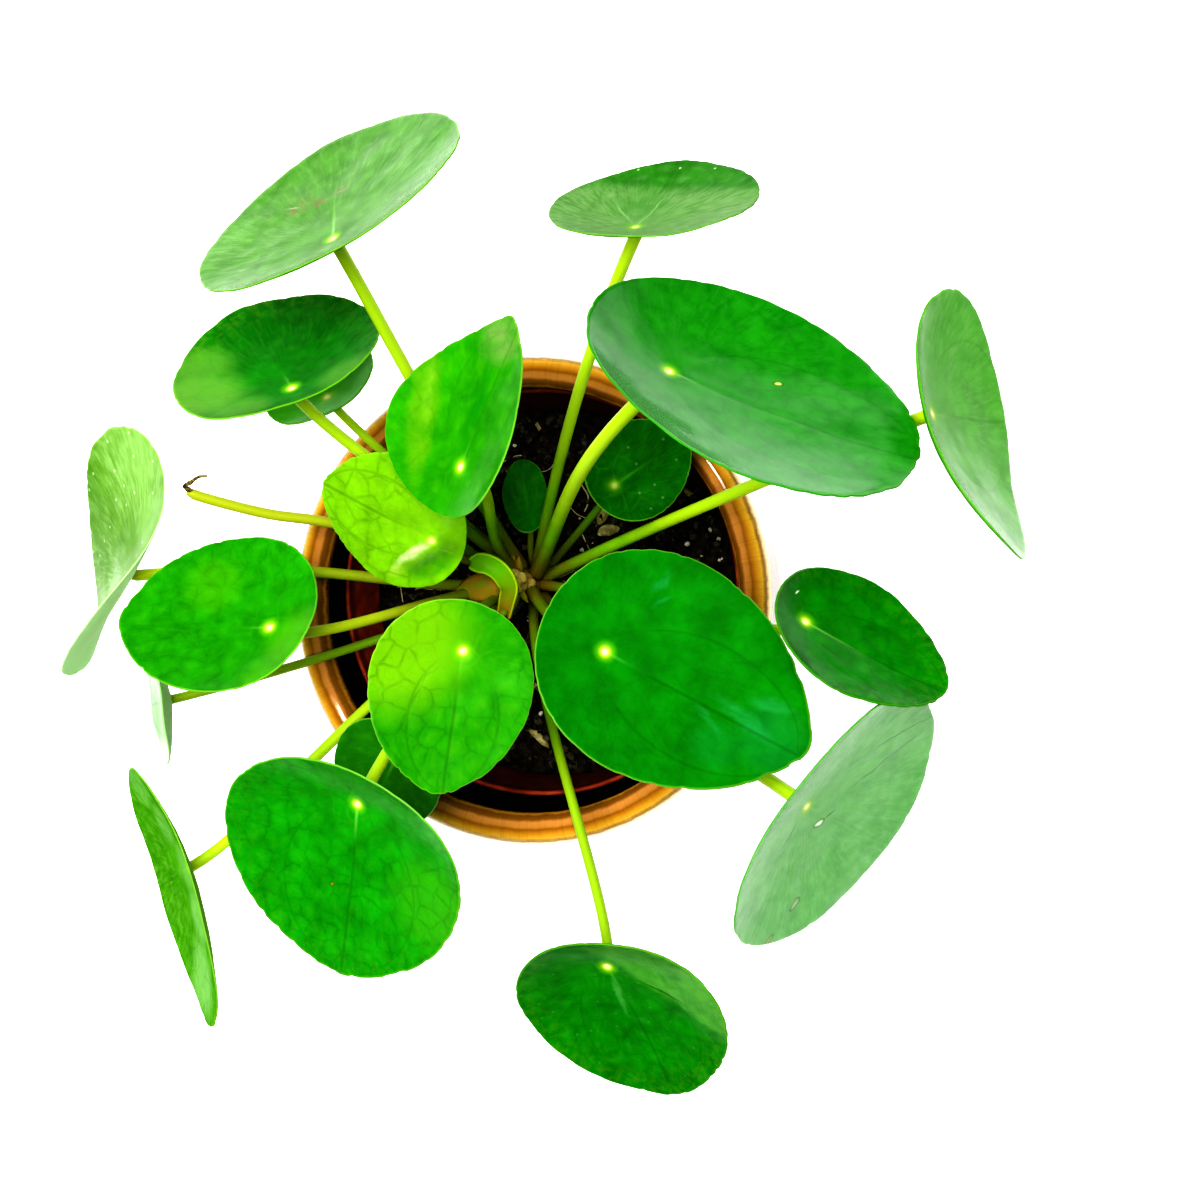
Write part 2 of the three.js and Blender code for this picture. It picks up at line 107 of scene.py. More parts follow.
# a profile of [radius, height] millimetres turned round +Z
def turnedShape(profile, steps, centre=(0, 0)):
    bm = bmesh.new()
    corners = [bm.verts.new((r * mm, 0, z * mm)) for r, z in profile]
    edges = [bm.edges.new(pair) for pair in zip(corners, corners[1:])]
    bmesh.ops.spin(bm, geom=corners + edges, cent=(0, 0, 0), axis=(0, 0, 1),
                   angle=2 * math.pi, steps=steps, use_merge=True)
    bmesh.ops.remove_doubles(bm, verts=bm.verts, dist=0.00001)
    bmesh.ops.recalc_face_normals(bm, faces=bm.faces)
    bmesh.ops.translate(bm, verts=bm.verts, vec=(centre[0] * mm, centre[1] * mm, 0))
    return bm


# points of a circle's arc in a profile
def arcPoints(centre, radius, start, end, count):
    angles = [math.radians(start + (end - start) * i / count) for i in range(count + 1)]
    return [(centre[0] + radius * math.cos(a), centre[1] + radius * math.sin(a)) for a in angles]


# a smooth line through points, with count steps between each two
def smoothLine(points, count):
    ends = [2 * points[0] - points[1]] + points + [2 * points[-1] - points[-2]]
    line = []
    for a, b, c, d in zip(ends, ends[1:], ends[2:], ends[3:]):
        for i in range(count):
            t = i / count
            line.append(0.5 * (2 * b + (c - a) * t + (2 * a - 5 * b + 4 * c - d) * t * t
                               + (3 * b - a - 3 * c + d) * t ** 3))
    return line + [points[-1]]


# a circle extruded along a path: every vertex keeps its distance from the start in "run"
def sweepStalk(bm, path, radii, sides):
    run = bm.verts.layers.float.get("run") or bm.verts.layers.float.new("run")
    tangents = [(b - a).normalized() for a, b in zip([path[0]] + path, path[1:] + [path[-1]]) if b != a]
    tangents[0] = (path[1] - path[0]).normalized()
    side = tangents[0].orthogonal().normalized()
    frames = []
    for i, (point, tangent, radius) in enumerate(zip(path, tangents, radii)):
        if i:
            side = tangents[i - 1].rotation_difference(tangent) @ side
        other = tangent.cross(side)
        place = Matrix((side * radius, other * radius, tangent * radius)).transposed().to_4x4()
        frames.append(Matrix.Translation(point) @ place)
    ring = bmesh.ops.create_circle(bm, cap_ends=False, segments=sides, radius=1, matrix=frames[0])
    edges = list({e for v in ring["verts"] for e in v.link_edges})
    loops = [edges]
    travelled = 0
    for i in range(1, len(frames)):
        travelled += (path[i] - path[i - 1]).length
        grown = bmesh.ops.extrude_edge_only(bm, edges=edges)["geom"]
        fresh = [g for g in grown if isinstance(g, bmesh.types.BMVert)]
        edges = [g for g in grown if isinstance(g, bmesh.types.BMEdge)
                 and all(v in fresh for v in g.verts)]
        bmesh.ops.transform(bm, matrix=frames[i] @ frames[i - 1].inverted(), verts=fresh)
        for v in fresh:
            v[run] = travelled
        loops.append(edges)
    for loop in (loops[0], loops[-1]):
        bmesh.ops.edgeloop_fill(bm, edges=loop)


# studio: a white paper floor under one large softbox, in a dim room, and a high-contrast print
studio = dict(floorSize=8, floorDrop=0.0003, floorColour="f7f7f7", floorGlow=0.5,
              horizon=0.14, zenith=0.08, horizonTop=0.0, zenithFrom=0.5,
              keyPower=30, keySize=1.3, keyPlace=(-0.1, 0.15, 1.3), keyAim=(0, 0, 0.12),
              stripPower=3.2, stripSize=(0.05, 0.7), stripPlace=(0.03, 0.24, 1.5), stripTurn=28)
photoView = dict(place=(184.8, 0, 844.5), target=(22.5, 0, 130), lens=75, sensor=36)


def makeStudio():
    scene = bpy.context.scene
    scene.view_settings.view_transform = "Standard"
    scene.view_settings.look = "Very High Contrast"
    cameraData = bpy.data.cameras.new("photoCamera")
    cameraData.lens = photoView["lens"]
    cameraData.sensor_width = photoView["sensor"]
    camera = bpy.data.objects.new("photoCamera", cameraData)
    place, target = Vector(photoView["place"]) * mm, Vector(photoView["target"]) * mm
    camera.location = place
    camera.rotation_euler = (0, math.atan2(place.x - target.x, place.z - target.z), 0)
    scene.collection.objects.link(camera)
    scene.camera = camera

    # seamless paper: matt and nearly white
    paper, tree = newMaterial("seamlessPaper")
    sheet = addNode(tree, "BsdfPrincipled",
                    {"Base Color": studio["floorColour"], "Roughness": 0.9, "Specular IOR Level": 0.2,
                     "Emission Color": (1, 1, 1, 1), "Emission Strength": studio["floorGlow"]})
    addNode(tree, "OutputMaterial", {"Surface": sheet})
    bm = bmesh.new()
    bmesh.ops.create_grid(bm, x_segments=1, y_segments=1, size=studio["floorSize"] / 2)
    bmesh.ops.translate(bm, verts=bm.verts, vec=(0, 0, -studio["floorDrop"]))
    mesh = bpy.data.meshes.new("floor")
    bm.to_mesh(mesh)
    bm.free()
    mesh.materials.append(paper)
    floor = bpy.data.objects.new("floor", mesh)
    scene.collection.objects.link(floor)

    # a dim room, a little lighter towards the floor
    world = bpy.data.worlds.new("studioWalls")
    world.use_nodes = True
    tree = world.node_tree
    tree.nodes.clear()
    direction = addNode(tree, "TexCoord")
    height = addNode(tree, "SeparateXYZ", {0: direction.outputs["Generated"]})
    strength = addNode(tree, "MapRange",
                       {"Value": height.outputs["Z"], "From Min": studio["horizonTop"],
                        "From Max": studio["zenithFrom"], "To Min": studio["horizon"],
                        "To Max": studio["zenith"]}, interpolation_type="SMOOTHSTEP")
    walls = addNode(tree, "Background", {"Color": (1, 1, 1, 1), "Strength": strength})
    addNode(tree, "OutputWorld", {"Surface": walls})
    scene.world = world

    key = bpy.data.lights.new("overheadSoftbox", "AREA")
    key.shape = "DISK"
    key.size = studio["keySize"]
    key.energy = studio["keyPower"]
    softbox = bpy.data.objects.new("overheadSoftbox", key)
    softbox.location = studio["keyPlace"]
    aim = Vector(studio["keyAim"]) - softbox.location
    softbox.rotation_euler = aim.to_track_quat("-Z", "Y").to_euler()
    softbox.visible_glossy = False
    softbox.visible_camera = False
    scene.collection.objects.link(softbox)

    strip = bpy.data.lights.new("stripLight", "AREA")
    strip.shape = "RECTANGLE"
    strip.size, strip.size_y = studio["stripSize"]
    strip.energy = studio["stripPower"]
    tube = bpy.data.objects.new("stripLight", strip)
    tube.location = studio["stripPlace"]
    tube.rotation_euler = (0, 0, math.radians(studio["stripTurn"] - 90))
    tube.visible_camera = False
    scene.collection.objects.link(tube)


makeStudio()
print("studio ready")

# cachepot: slip-cast earthenware under a glossy honey glaze
potShape = dict(height=130, rim=72.5, roll=4.75, steps=180,
                outside=((0, 1.2), (40, 1.2), (48.5, 1.2), (50, 0), (54.5, 0), (56.2, 0.7), (57, 2.4),
                         (57.2, 4.2), (69.2, 112.5), (69.5, 115.6), (70.0, 117.4), (71.3, 118.9),
                         (72.2, 121), (72.45, 123.2)),
                inside=((63.1, 123.4), (63.7, 122.2), (64.3, 120.6), (64.4, 118), (64.2, 111), (64, 109.5),
                        (52.6, 16), (52.2, 13), (51.2, 10.4), (49.2, 8.8), (46.5, 8.1), (44, 8), (0, 8)))
# the lip bands mix the glaze's own tones with painted highlights (the pale lines) and a painted reflection
# (the pinkish-tan band)
glazeLook = dict(lipFrom=62.8, lipTo=72.6,
                 lipBandsAndHighlights=((0.00, "4a2a06"), (0.05, "c08c34"), (0.11, "7a500c"), (0.22, "7a5014"),
                           (0.30, "b27c42"), (0.44, "a67434"), (0.52, "84540a"), (0.62, "a8741a"),
                           (0.80, "cca040"), (0.90, "84601a"), (0.95, "dcb470"), (1.00, "ecd4a0")),
                 wall=((0.28, "643a06"), (0.50, "84540a"), (0.72, "a4701e")),
                 insideShade="241406", crackle="3c2404", clay="c9a27c", gloss=0.07)


def honeyGlaze():
    # a transparent amber glaze, fired glossy: it breaks brown where it runs thin and pools gold between,
    # and on the lip its bands also hold painted highlights and reflections
    g = glazeLook
    material, tree = newMaterial("honeyGlazedEarthenware")
    place = addNode(tree, "TexCoord")
    parts = addNode(tree, "SeparateXYZ", {0: place.outputs["Object"]})
    flat = addNode(tree, "CombineXYZ", {0: parts.outputs["X"], 1: parts.outputs["Y"]})
    radius = addNode(tree, "VectorMath", {0: flat}, operation="LENGTH")
    # brush marks and running: noise stretched down the wall and round the lip
    streaks = addNode(tree, "Mapping", {"Vector": place.outputs["Object"], "Scale": (1, 1, 0.15)})
    runs = addNode(tree, "TexNoise",
                   {"Vector": streaks, "Scale": perSize(4), "Detail": 4, "Roughness": 0.6})
    clouds = addNode(tree, "TexNoise",
                     {"Vector": place.outputs["Object"], "Scale": perSize(22), "Detail": 3})
    sagging = addNode(tree, "TexNoise",
                      {"Vector": streaks, "Scale": perSize(11), "Detail": 3, "Roughness": 0.45})
    # bands across the lip: the glaze's own breaking, with painted highlights and a painted reflection band
    wobble = addNode(tree, "Math", {0: runs, 1: 0.0012, 2: -0.0006}, operation="MULTIPLY_ADD")
    shifted = addNode(tree, "Math", {0: radius, 1: wobble}, operation="ADD")
    across = addNode(tree, "MapRange",
                     {"Value": shifted, "From Min": g["lipFrom"] * mm, "From Max": g["lipTo"] * mm})
    bandsAndHighlights = addNode(tree, "ValToRGB", {"Fac": across}, stops=g["lipBandsAndHighlights"])
    # thicker and darker towards the foot
    lower = addNode(tree, "MapRange",
                    {"Value": parts.outputs["Z"], "From Min": 0.0, "From Max": 120 * mm, "To Min": -0.12,
                     "To Max": 0.08})
    thickness = addNode(tree, "Math", {0: sagging, 1: lower}, operation="ADD")
    wallTone = addNode(tree, "ValToRGB", {"Fac": thickness}, stops=g["wall"])
    onLip = addNode(tree, "MapRange",
                    {"Value": parts.outputs["Z"], "From Min": 123.5 * mm, "From Max": 126 * mm})
    body = addNode(tree, "Mix", {0: onLip, 6: wallTone, 7: bandsAndHighlights}, data_type="RGBA")
    # inside the wall the glaze is painted dark, as painted shade deep in the pot; the wall leans out 0.1155
    # mm a mm
    leaning = addNode(tree, "Math",
                      {0: parts.outputs["Z"], 1: -0.1155, 2: radius}, operation="MULTIPLY_ADD")
    within = addNode(tree, "MapRange",
                     {"Value": leaning, "From Min": 52.5 * mm, "From Max": 54.5 * mm, "To Min": 1.0,
                      "To Max": 0.0})
    underLip = addNode(tree, "MapRange",
                       {"Value": parts.outputs["Z"], "From Min": 119.5 * mm, "From Max": 122.5 * mm,
                        "To Min": 1.0, "To Max": 0.0})
    inside = addNode(tree, "Math", {0: within, 1: underLip}, operation="MULTIPLY")
    shadedInside = addNode(tree, "Mix", {0: inside, 6: body, 7: g["insideShade"]}, data_type="RGBA")
    # fine crackle across the lip and down the wall, about 1 mm apart
    around = addNode(tree, "VectorMath", {0: flat}, operation="NORMALIZE")
    crackle = addNode(tree, "TexNoise", {"Vector": around, "Scale": 120, "Detail": 4, "Roughness": 0.7})
    line = addNode(tree, "MapRange",
                   {"Value": crackle, "From Min": 0.5, "From Max": 0.7, "To Min": 0.0, "To Max": 0.45})
    broken = addNode(tree, "Math", {0: line, 1: runs}, operation="MULTIPLY")
    crazed = addNode(tree, "Mix", {0: broken, 6: shadedInside, 7: g["crackle"]}, data_type="RGBA")
    # the foot ring stands bare: pale fired clay up to about 1 mm
    foot = addNode(tree, "MapRange",
                   {"Value": parts.outputs["Z"], "From Min": 0.6 * mm, "From Max": 1.3 * mm})
    colour = addNode(tree, "Mix", {0: foot, 6: g["clay"], 7: crazed}, data_type="RGBA")
    rough = addNode(tree, "MapRange", {"Value": foot, "To Min": 0.8, "To Max": g["gloss"]})
    ripple = addNode(tree, "Bump", {"Strength": 0.12, "Distance": 0.4 * mm, "Height": clouds})
    glaze = addNode(tree, "BsdfPrincipled",
                    {"Base Color": colour, "Roughness": rough, "IOR": 1.52, "Normal": ripple})
    addNode(tree, "OutputMaterial", {"Surface": glaze})
    return material


def makeCachepot():
    p = potShape
    lip = (p["rim"] - p["roll"], p["height"] - p["roll"])
    profile = [*p["outside"], *arcPoints(lip, p["roll"], 0, 180, 18), *p["inside"]]
    finishPiece("glazedCachepot", turnedShape(profile, p["steps"]), [honeyGlaze()], ["cachepot"])


makeCachepot()
print("cachepot glazed")

# nursery pot: thin vacuum-formed polypropylene, red-brown
nurseryShape = dict(centre=(1.5, 2.5), rim=61, top=119.5, band=7, step=1.4, base=43, foot=8.3, wall=1.4,
                    holeRadius=3.5, holes=8, holeCircle=30, steps=144, gapShadeTone="2a0e06",
                    gapShadeFoot=116, gapShadeTop=119,
                    plastic=((0.35, "68220e"), (0.60, "8c381a"), (0.78, "a85c3c")))


def nurseryPlastic():
    # satin terracotta-brown polypropylene with faint moulding rings and dust from the soil, and painted
    # shade below the rim
    n = nurseryShape
    material, tree = newMaterial("mouldedPolypropylene")
    place = addNode(tree, "TexCoord")
    parts = addNode(tree, "SeparateXYZ", {0: place.outputs["Object"]})
    dust = addNode(tree, "TexNoise", {"Vector": place.outputs["Object"], "Scale": perSize(5), "Detail": 6})
    tone = addNode(tree, "ValToRGB", {"Fac": dust}, stops=n["plastic"])
    # painted shade darkens the wall just below the rim, where the glazed pot shades it, least on the -X
    # side where light reaches the wall
    gapShade = addNode(tree, "MapRange",
                     {"Value": parts.outputs["Z"], "From Min": n["gapShadeFoot"] * mm,
                      "From Max": n["gapShadeTop"] * mm, "To Min": 0.8, "To Max": 0.0})
    sideShade = addNode(tree, "MapRange",
                         {"Value": parts.outputs["X"], "From Min": -48 * mm, "From Max": -34 * mm,
                          "To Min": 0.1, "To Max": 1.0})
    gapShadeShare = addNode(tree, "Math", {0: gapShade, 1: sideShade}, operation="MULTIPLY")
    shadedPlastic = addNode(tree, "Mix", {0: gapShadeShare, 6: tone, 7: n["gapShadeTone"]}, data_type="RGBA")
    rings = addNode(tree, "Math", {0: parts.outputs["Z"], 1: perSize(0.4)}, operation="MULTIPLY")
    wave = addNode(tree, "Math", {0: rings}, operation="SINE")
    relief = addNode(tree, "Bump", {"Strength": 0.15, "Distance": 0.1 * mm, "Height": wave})
    plastic = addNode(tree, "BsdfPrincipled",
                      {"Base Color": shadedPlastic, "Roughness": 0.42, "IOR": 1.49, "Normal": relief})
    addNode(tree, "OutputMaterial", {"Surface": plastic})
    return material


def nurseryRadius(height):
    n = nurseryShape
    share = (height - n["foot"]) / (n["top"] - n["band"] - n["foot"])
    return n["base"] + (n["rim"] - n["step"] - n["base"]) * share


def makeNurseryPot():
    n = nurseryShape
    foot, wall, top = n["foot"], n["wall"], n["top"]
    bandFoot, inside = top - n["band"], n["rim"] - n["wall"]
    profile = [(0, foot), (40, foot), (42, foot + 0.4), (nurseryRadius(foot + 2), foot + 2)]
    profile += [(nurseryRadius(60), 60), (nurseryRadius(bandFoot - 1), bandFoot - 1)]
    profile += [(nurseryRadius(bandFoot), bandFoot - 0.2), (n["rim"] - 0.2, bandFoot + 0.1)]
    profile += [(n["rim"], bandFoot + 0.8), (n["rim"], top - 0.9)]
    profile += arcPoints((n["rim"] - wall / 2, top - 0.7), 0.7, 20, 160, 6)
    profile += [(inside, top - 0.9), (inside, bandFoot + 1.8), (inside - 0.4, bandFoot + 1)]
    profile += [(nurseryRadius(bandFoot) - wall, bandFoot - 0.4), (nurseryRadius(60) - wall, 60)]
    profile += [(nurseryRadius(foot + 3) - wall, foot + 3), (40, foot + wall), (0, foot + wall)]
    bm = turnedShape(profile, n["steps"], n["centre"])
    pot = finishPiece("nurseryPot", bm, [nurseryPlastic()], ["nursery_pot"])
    # drain holes are cut through the floor, then the cutters go
    cutters = bmesh.new()
    for i in range(n["holes"]):
        turn = 2 * math.pi * i / n["holes"]
        at = Vector((n["centre"][0] + n["holeCircle"] * math.cos(turn),
                     n["centre"][1] + n["holeCircle"] * math.sin(turn), foot)) * mm
        bmesh.ops.create_cone(cutters, cap_ends=True, segments=24, radius1=n["holeRadius"] * mm,
                              radius2=n["holeRadius"] * mm, depth=6 * mm, matrix=Matrix.Translation(at))
    cutterMesh = bpy.data.meshes.new("drainCutters")
    cutters.to_mesh(cutterMesh)
    cutters.free()
    cutter = bpy.data.objects.new("drainCutters", cutterMesh)
    bpy.context.scene.collection.objects.link(cutter)
    drill = pot.modifiers.new("drainHoles", "BOOLEAN")
    drill.object = cutter
    drill.operation = "DIFFERENCE"
    bpy.context.view_layer.update()
    drilled = bpy.data.meshes.new_from_object(pot.evaluated_get(bpy.context.evaluated_depsgraph_get()))
    pot.modifiers.clear()
    pot.data = drilled
    bpy.data.objects.remove(cutter)


makeNurseryPot()
print("nursery pot moulded")

# stem: short and knobbly, corky below and green-yellow at the growing tip
stemShape = dict(centre=(-5, 5), radius=5, tip=2.2, taperFrom=106, foot=90, top=125, scarPitch=5,
                 scarDepth=0.7, steps=48, seed=3, stipules=9, stipuleRise=(114, 123),
                 stipuleLength=(4, 7), stipuleWidth=(1.8, 3.2), stipuleLean=(35, 75), stipuleThick=0.25,
                 hoodFoot=(-8, 4.5, 129), hoodTurn=186, hoodLength=15, hoodWidth=9,
                 knobs=9, knobRise=(112, 124), knobSize=(1.3, 2.2))


def heading(azimuth, rise):
    turn, up = math.radians(azimuth), math.radians(rise)
    return Vector((math.cos(up) * math.cos(turn), math.cos(up) * math.sin(turn), math.sin(up)))


def stemRadiusAt(height):
    s = stemShape
    share = min(max((height - s["taperFrom"]) / (s["top"] - s["taperFrom"]), 0), 1)
    return s["radius"] + (s["tip"] - s["radius"]) * share


# soil: dark peat mix, with crumbs, perlite, bark chips and fine roots lying on it
soilShape = dict(centre=(1.5, 2.5), top=101.5, bottom=10, edgeDrop=1.5, steps=150, rings=46,
                 ripple=0.45, roughness=1.1, crumbs=1100, crumbSize=(0.8, 3.2), perlite=80,
                 perliteSize=(0.8, 2.2), chips=44, roots=38, rootStep=2.4, rootThick=(0.14, 0.3),
                 reach=54, rootReach=48, stemClear=9, seed=7,
                 husks=((-3.5, -41.8, 10, 2.6, -45), (17.1, 25.9, 7, 3.4, 60), (18.9, 21.3, 7, 3.6, 10),
                        (-37, 36, 6, 2.4, 30)))


def peatMix(name, dark, light, rough=0.95):
    # moist peat: nearly black fibres with brown crumbs, no gloss
    material, tree = newMaterial(name)
    place = addNode(tree, "TexCoord")
    grain = addNode(tree, "TexNoise",
                    {"Vector": place.outputs["Object"], "Scale": perSize(2.2), "Detail": 8,
                     "Roughness": 0.7})
    tone = addNode(tree, "ValToRGB", {"Fac": grain}, stops=[(0.42, dark), (0.72, light)])
    relief = addNode(tree, "Bump", {"Strength": 0.8, "Distance": 0.8 * mm, "Height": grain})
    peat = addNode(tree, "BsdfPrincipled",
                   {"Base Color": tone, "Roughness": rough, "Specular IOR Level": 0.25, "Normal": relief})
    addNode(tree, "OutputMaterial", {"Surface": peat})
    return material


def soilHeight(x, y):
    s = soilShape
    ripple = math.sin(x * 0.31 + 1) * math.cos(y * 0.27) + math.sin(x * 0.12 - y * 0.19 + 2)
    rough = noise.fractal(Vector((x, y, 0)) * 0.22, 0.6, 2.1, 5)
    edge = smoothstep(40, 57, math.hypot(x, y))
    return s["top"] + s["ripple"] * ripple + s["roughness"] * rough - s["edgeDrop"] * edge


def looseBit(bm, x, y, size, shape, rand, sink=0.25):
    turn = Matrix.Rotation(rand.uniform(0, 6.3), 4, "Z")
    turn @= Matrix.Rotation(rand.uniform(-0.5, 0.5), 4, "X")
    turn @= Matrix.Rotation(rand.uniform(-0.4, 0.4), 4, "Y")
    at = Vector((soilShape["centre"][0] + x, soilShape["centre"][1] + y,
                 soilHeight(x, y) + size[2] * (0.5 - sink)))
    matrix = Matrix.Translation(at * mm) @ turn @ Matrix.Diagonal(Vector(size) * 0.5 * mm).to_4x4()
    if shape == "crumb":
        fresh = bmesh.ops.create_icosphere(bm, subdivisions=1, radius=1)["verts"]
        for v in fresh:
            v.co *= 1 + 0.35 * (rand.random() - 0.5) * 2
    else:
        fresh = bmesh.ops.create_cube(bm, size=2)["verts"]
        for v in fresh:
            v.co += Vector((rand.uniform(-0.3, 0.3), rand.uniform(-0.3, 0.3), rand.uniform(-0.2, 0.2)))
    bmesh.ops.transform(bm, matrix=matrix, verts=fresh)


# a place on the soil, clear of the stem
def scatterPlace(rand, reach):
    while True:
        x, y = rand.uniform(-reach, reach), rand.uniform(-reach, reach)
        stem = math.hypot(x - stemShape["centre"][0] + soilShape["centre"][0],
                          y - stemShape["centre"][1] + soilShape["centre"][1])
        if math.hypot(x, y) < reach and stem > soilShape["stemClear"]:
            return x, y


def makeSoil():
    s = soilShape
    rand = random.Random(s["seed"])
    noise.seed_set(s["seed"])  # without a seed, the husks' noise_vector would follow the clock
    radius = nurseryRadius(s["top"]) - nurseryShape["wall"] - 0.1
    foot = nurseryRadius(s["bottom"]) - nurseryShape["wall"] - 0.2
    profile = [(0, s["bottom"]), (foot - 1, s["bottom"]), (foot, s["bottom"] + 1)]
    profile += [(radius, s["top"] - 4), (radius, s["top"] - 1)]
    profile += [(radius * i / s["rings"], s["top"]) for i in range(s["rings"] - 1, -1, -1)]
    bm = turnedShape(profile, s["steps"])
    for v in bm.verts:
        if v.co.z > (s["top"] - 2) * mm:
            v.co.z = soilHeight(v.co.x / mm, v.co.y / mm) * mm
    bmesh.ops.translate(bm, verts=bm.verts, vec=(s["centre"][0] * mm, s["centre"][1] * mm, 0))
    finishPiece("pottingMix", bm, [peatMix("moistPeat", "080705", "3c3426")], ["soil"])

    crumbs = bmesh.new()
    for i in range(s["crumbs"]):
        x, y = scatterPlace(rand, s["reach"])
        size = rand.uniform(*s["crumbSize"])
        looseBit(crumbs, x, y, (size, size * rand.uniform(0.6, 1), size * 0.7), "crumb", rand)
    finishPiece("soilCrumbs", crumbs, [peatMix("peatCrumbs", "0c0a06", "6c6450")],
                flat=True)

    perlite = bmesh.new()
    for i in range(s["perlite"]):
        x, y = scatterPlace(rand, s["reach"])
        size = rand.uniform(*s["perliteSize"])
        looseBit(perlite, x, y, (size, size * 0.9, size * 0.8), "crumb", rand, 0.1)
    finishPiece("perliteGrains", perlite, [peatMix("perlite", "a8a490", "e8e4d8", 0.8)],
                flat=True)

    chips = bmesh.new()
    for i in range(s["chips"]):
        x, y = scatterPlace(rand, s["reach"])
        size = (rand.uniform(2, 6), rand.uniform(0.8, 2), rand.uniform(0.6, 1.2))
        looseBit(chips, x, y, size, "chip", rand)
    finishPiece("barkChips", chips, [peatMix("pineBark", "5c5430", "b0a478", 0.8)],
                flat=True)

    roots = bmesh.new()
    for i in range(s["roots"]):
        x, y = scatterPlace(rand, s["rootReach"])
        course = rand.uniform(0, 6.3)
        path = []
        for step in range(6):
            path.append(Vector((s["centre"][0] + x, s["centre"][1] + y, soilHeight(x, y) + 0.4)) * mm)
            course += rand.uniform(-0.7, 0.7)
            x += s["rootStep"] * math.cos(course)
            y += s["rootStep"] * math.sin(course)
            if math.hypot(x, y) > s["reach"]:
                break
        if len(path) > 2:
            line = smoothLine(path, 3)
            thick = rand.uniform(*s["rootThick"]) * mm
            sweepStalk(roots, line, [thick] * len(line), 5)
    bmesh.ops.recalc_face_normals(roots, faces=roots.faces)
    finishPiece("fineRoots", roots, [peatMix("driedRoot", "a09870", "dcd4b0", 0.8)])

    # dry leaf husks: spindles lying on the soil
    husks = bmesh.new()
    for x, y, length, width, turn in s["husks"]:
        fresh = bmesh.ops.create_uvsphere(husks, u_segments=12, v_segments=8, radius=1)["verts"]
        for v in fresh:
            v.co += noise.noise_vector(v.co * 1.7 + Vector((x, y, 0))) * 0.22
        at = Vector((x, y, soilHeight(x - s["centre"][0], y - s["centre"][1]) + 0.5)) * mm
        matrix = Matrix.Translation(at) @ Matrix.Rotation(math.radians(turn), 4, "Z")
        matrix @= Matrix.Diagonal(Vector((length / 2, width / 2, 0.7)) * mm).to_4x4()
        bmesh.ops.transform(husks, matrix=matrix, verts=fresh)
    finishPiece("leafHusks", husks, [peatMix("dryHusk", "7c7444", "c0b484", 0.8)])


makeSoil()
print("soil filled")


def stemBark():
    # corky brown bark with old scars, turning green-yellow where the stem still grows
    material, tree = newMaterial("corkyStemBark")
    place = addNode(tree, "TexCoord")
    parts = addNode(tree, "SeparateXYZ", {0: place.outputs["Object"]})
    grain = addNode(tree, "TexNoise",
                    {"Vector": place.outputs["Object"], "Scale": perSize(1.6), "Detail": 6})
    uneven = addNode(tree, "Math", {0: grain, 1: 0.012, 2: parts.outputs["Z"]}, operation="MULTIPLY_ADD")
    rise = addNode(tree, "MapRange", {"Value": uneven, "From Min": 102 * mm, "From Max": 128 * mm})
    tone = addNode(tree, "ValToRGB", {"Fac": rise},
                   stops=[(0.00, "2c1a0e"), (0.30, "7a5c28"), (0.60, "947c38"), (1.00, "bca860")])
    relief = addNode(tree, "Bump", {"Strength": 0.6, "Distance": 0.5 * mm, "Height": grain})
    bark = addNode(tree, "BsdfPrincipled", {"Base Color": tone, "Roughness": 0.7, "Normal": relief})
    addNode(tree, "OutputMaterial", {"Surface": bark})
    return material


def dryStipule():
    # papery dead stipules: olive to orange-brown, half matt, left opaque
    material, tree = newMaterial("dryStipule")
    place = addNode(tree, "TexCoord")
    grain = addNode(tree, "TexNoise", {"Vector": place.outputs["Object"], "Scale": perSize(3), "Detail": 3})
    tone = addNode(tree, "ValToRGB", {"Fac": grain},
                   stops=[(0.38, "7c841c"), (0.50, "8c7c20"), (0.64, "a0782c")])
    scale = addNode(tree, "BsdfPrincipled",
                    {"Base Color": tone, "Roughness": 0.5, "Specular IOR Level": 0.25})
    addNode(tree, "OutputMaterial", {"Surface": scale})
    return material


def addStipule(bm, foot, azimuth, length, width, lean, droop):
    grid = bmesh.ops.create_grid(bm, x_segments=8, y_segments=8, size=1)["verts"]
    side = heading(azimuth + 90, 0)
    for v in grid:
        u, w = (v.co.y + 1) / 2, v.co.x
        half = width / 2 * math.sin(math.pi * min(0.25 + 0.75 * u, 0.99)) ** 0.8
        reach = heading(azimuth, lean - droop * u) * length * u
        curl = heading(azimuth, lean + 90) * (-0.22 * width * w * w)
        v.co = (foot + reach + side * w * half + curl) * mm


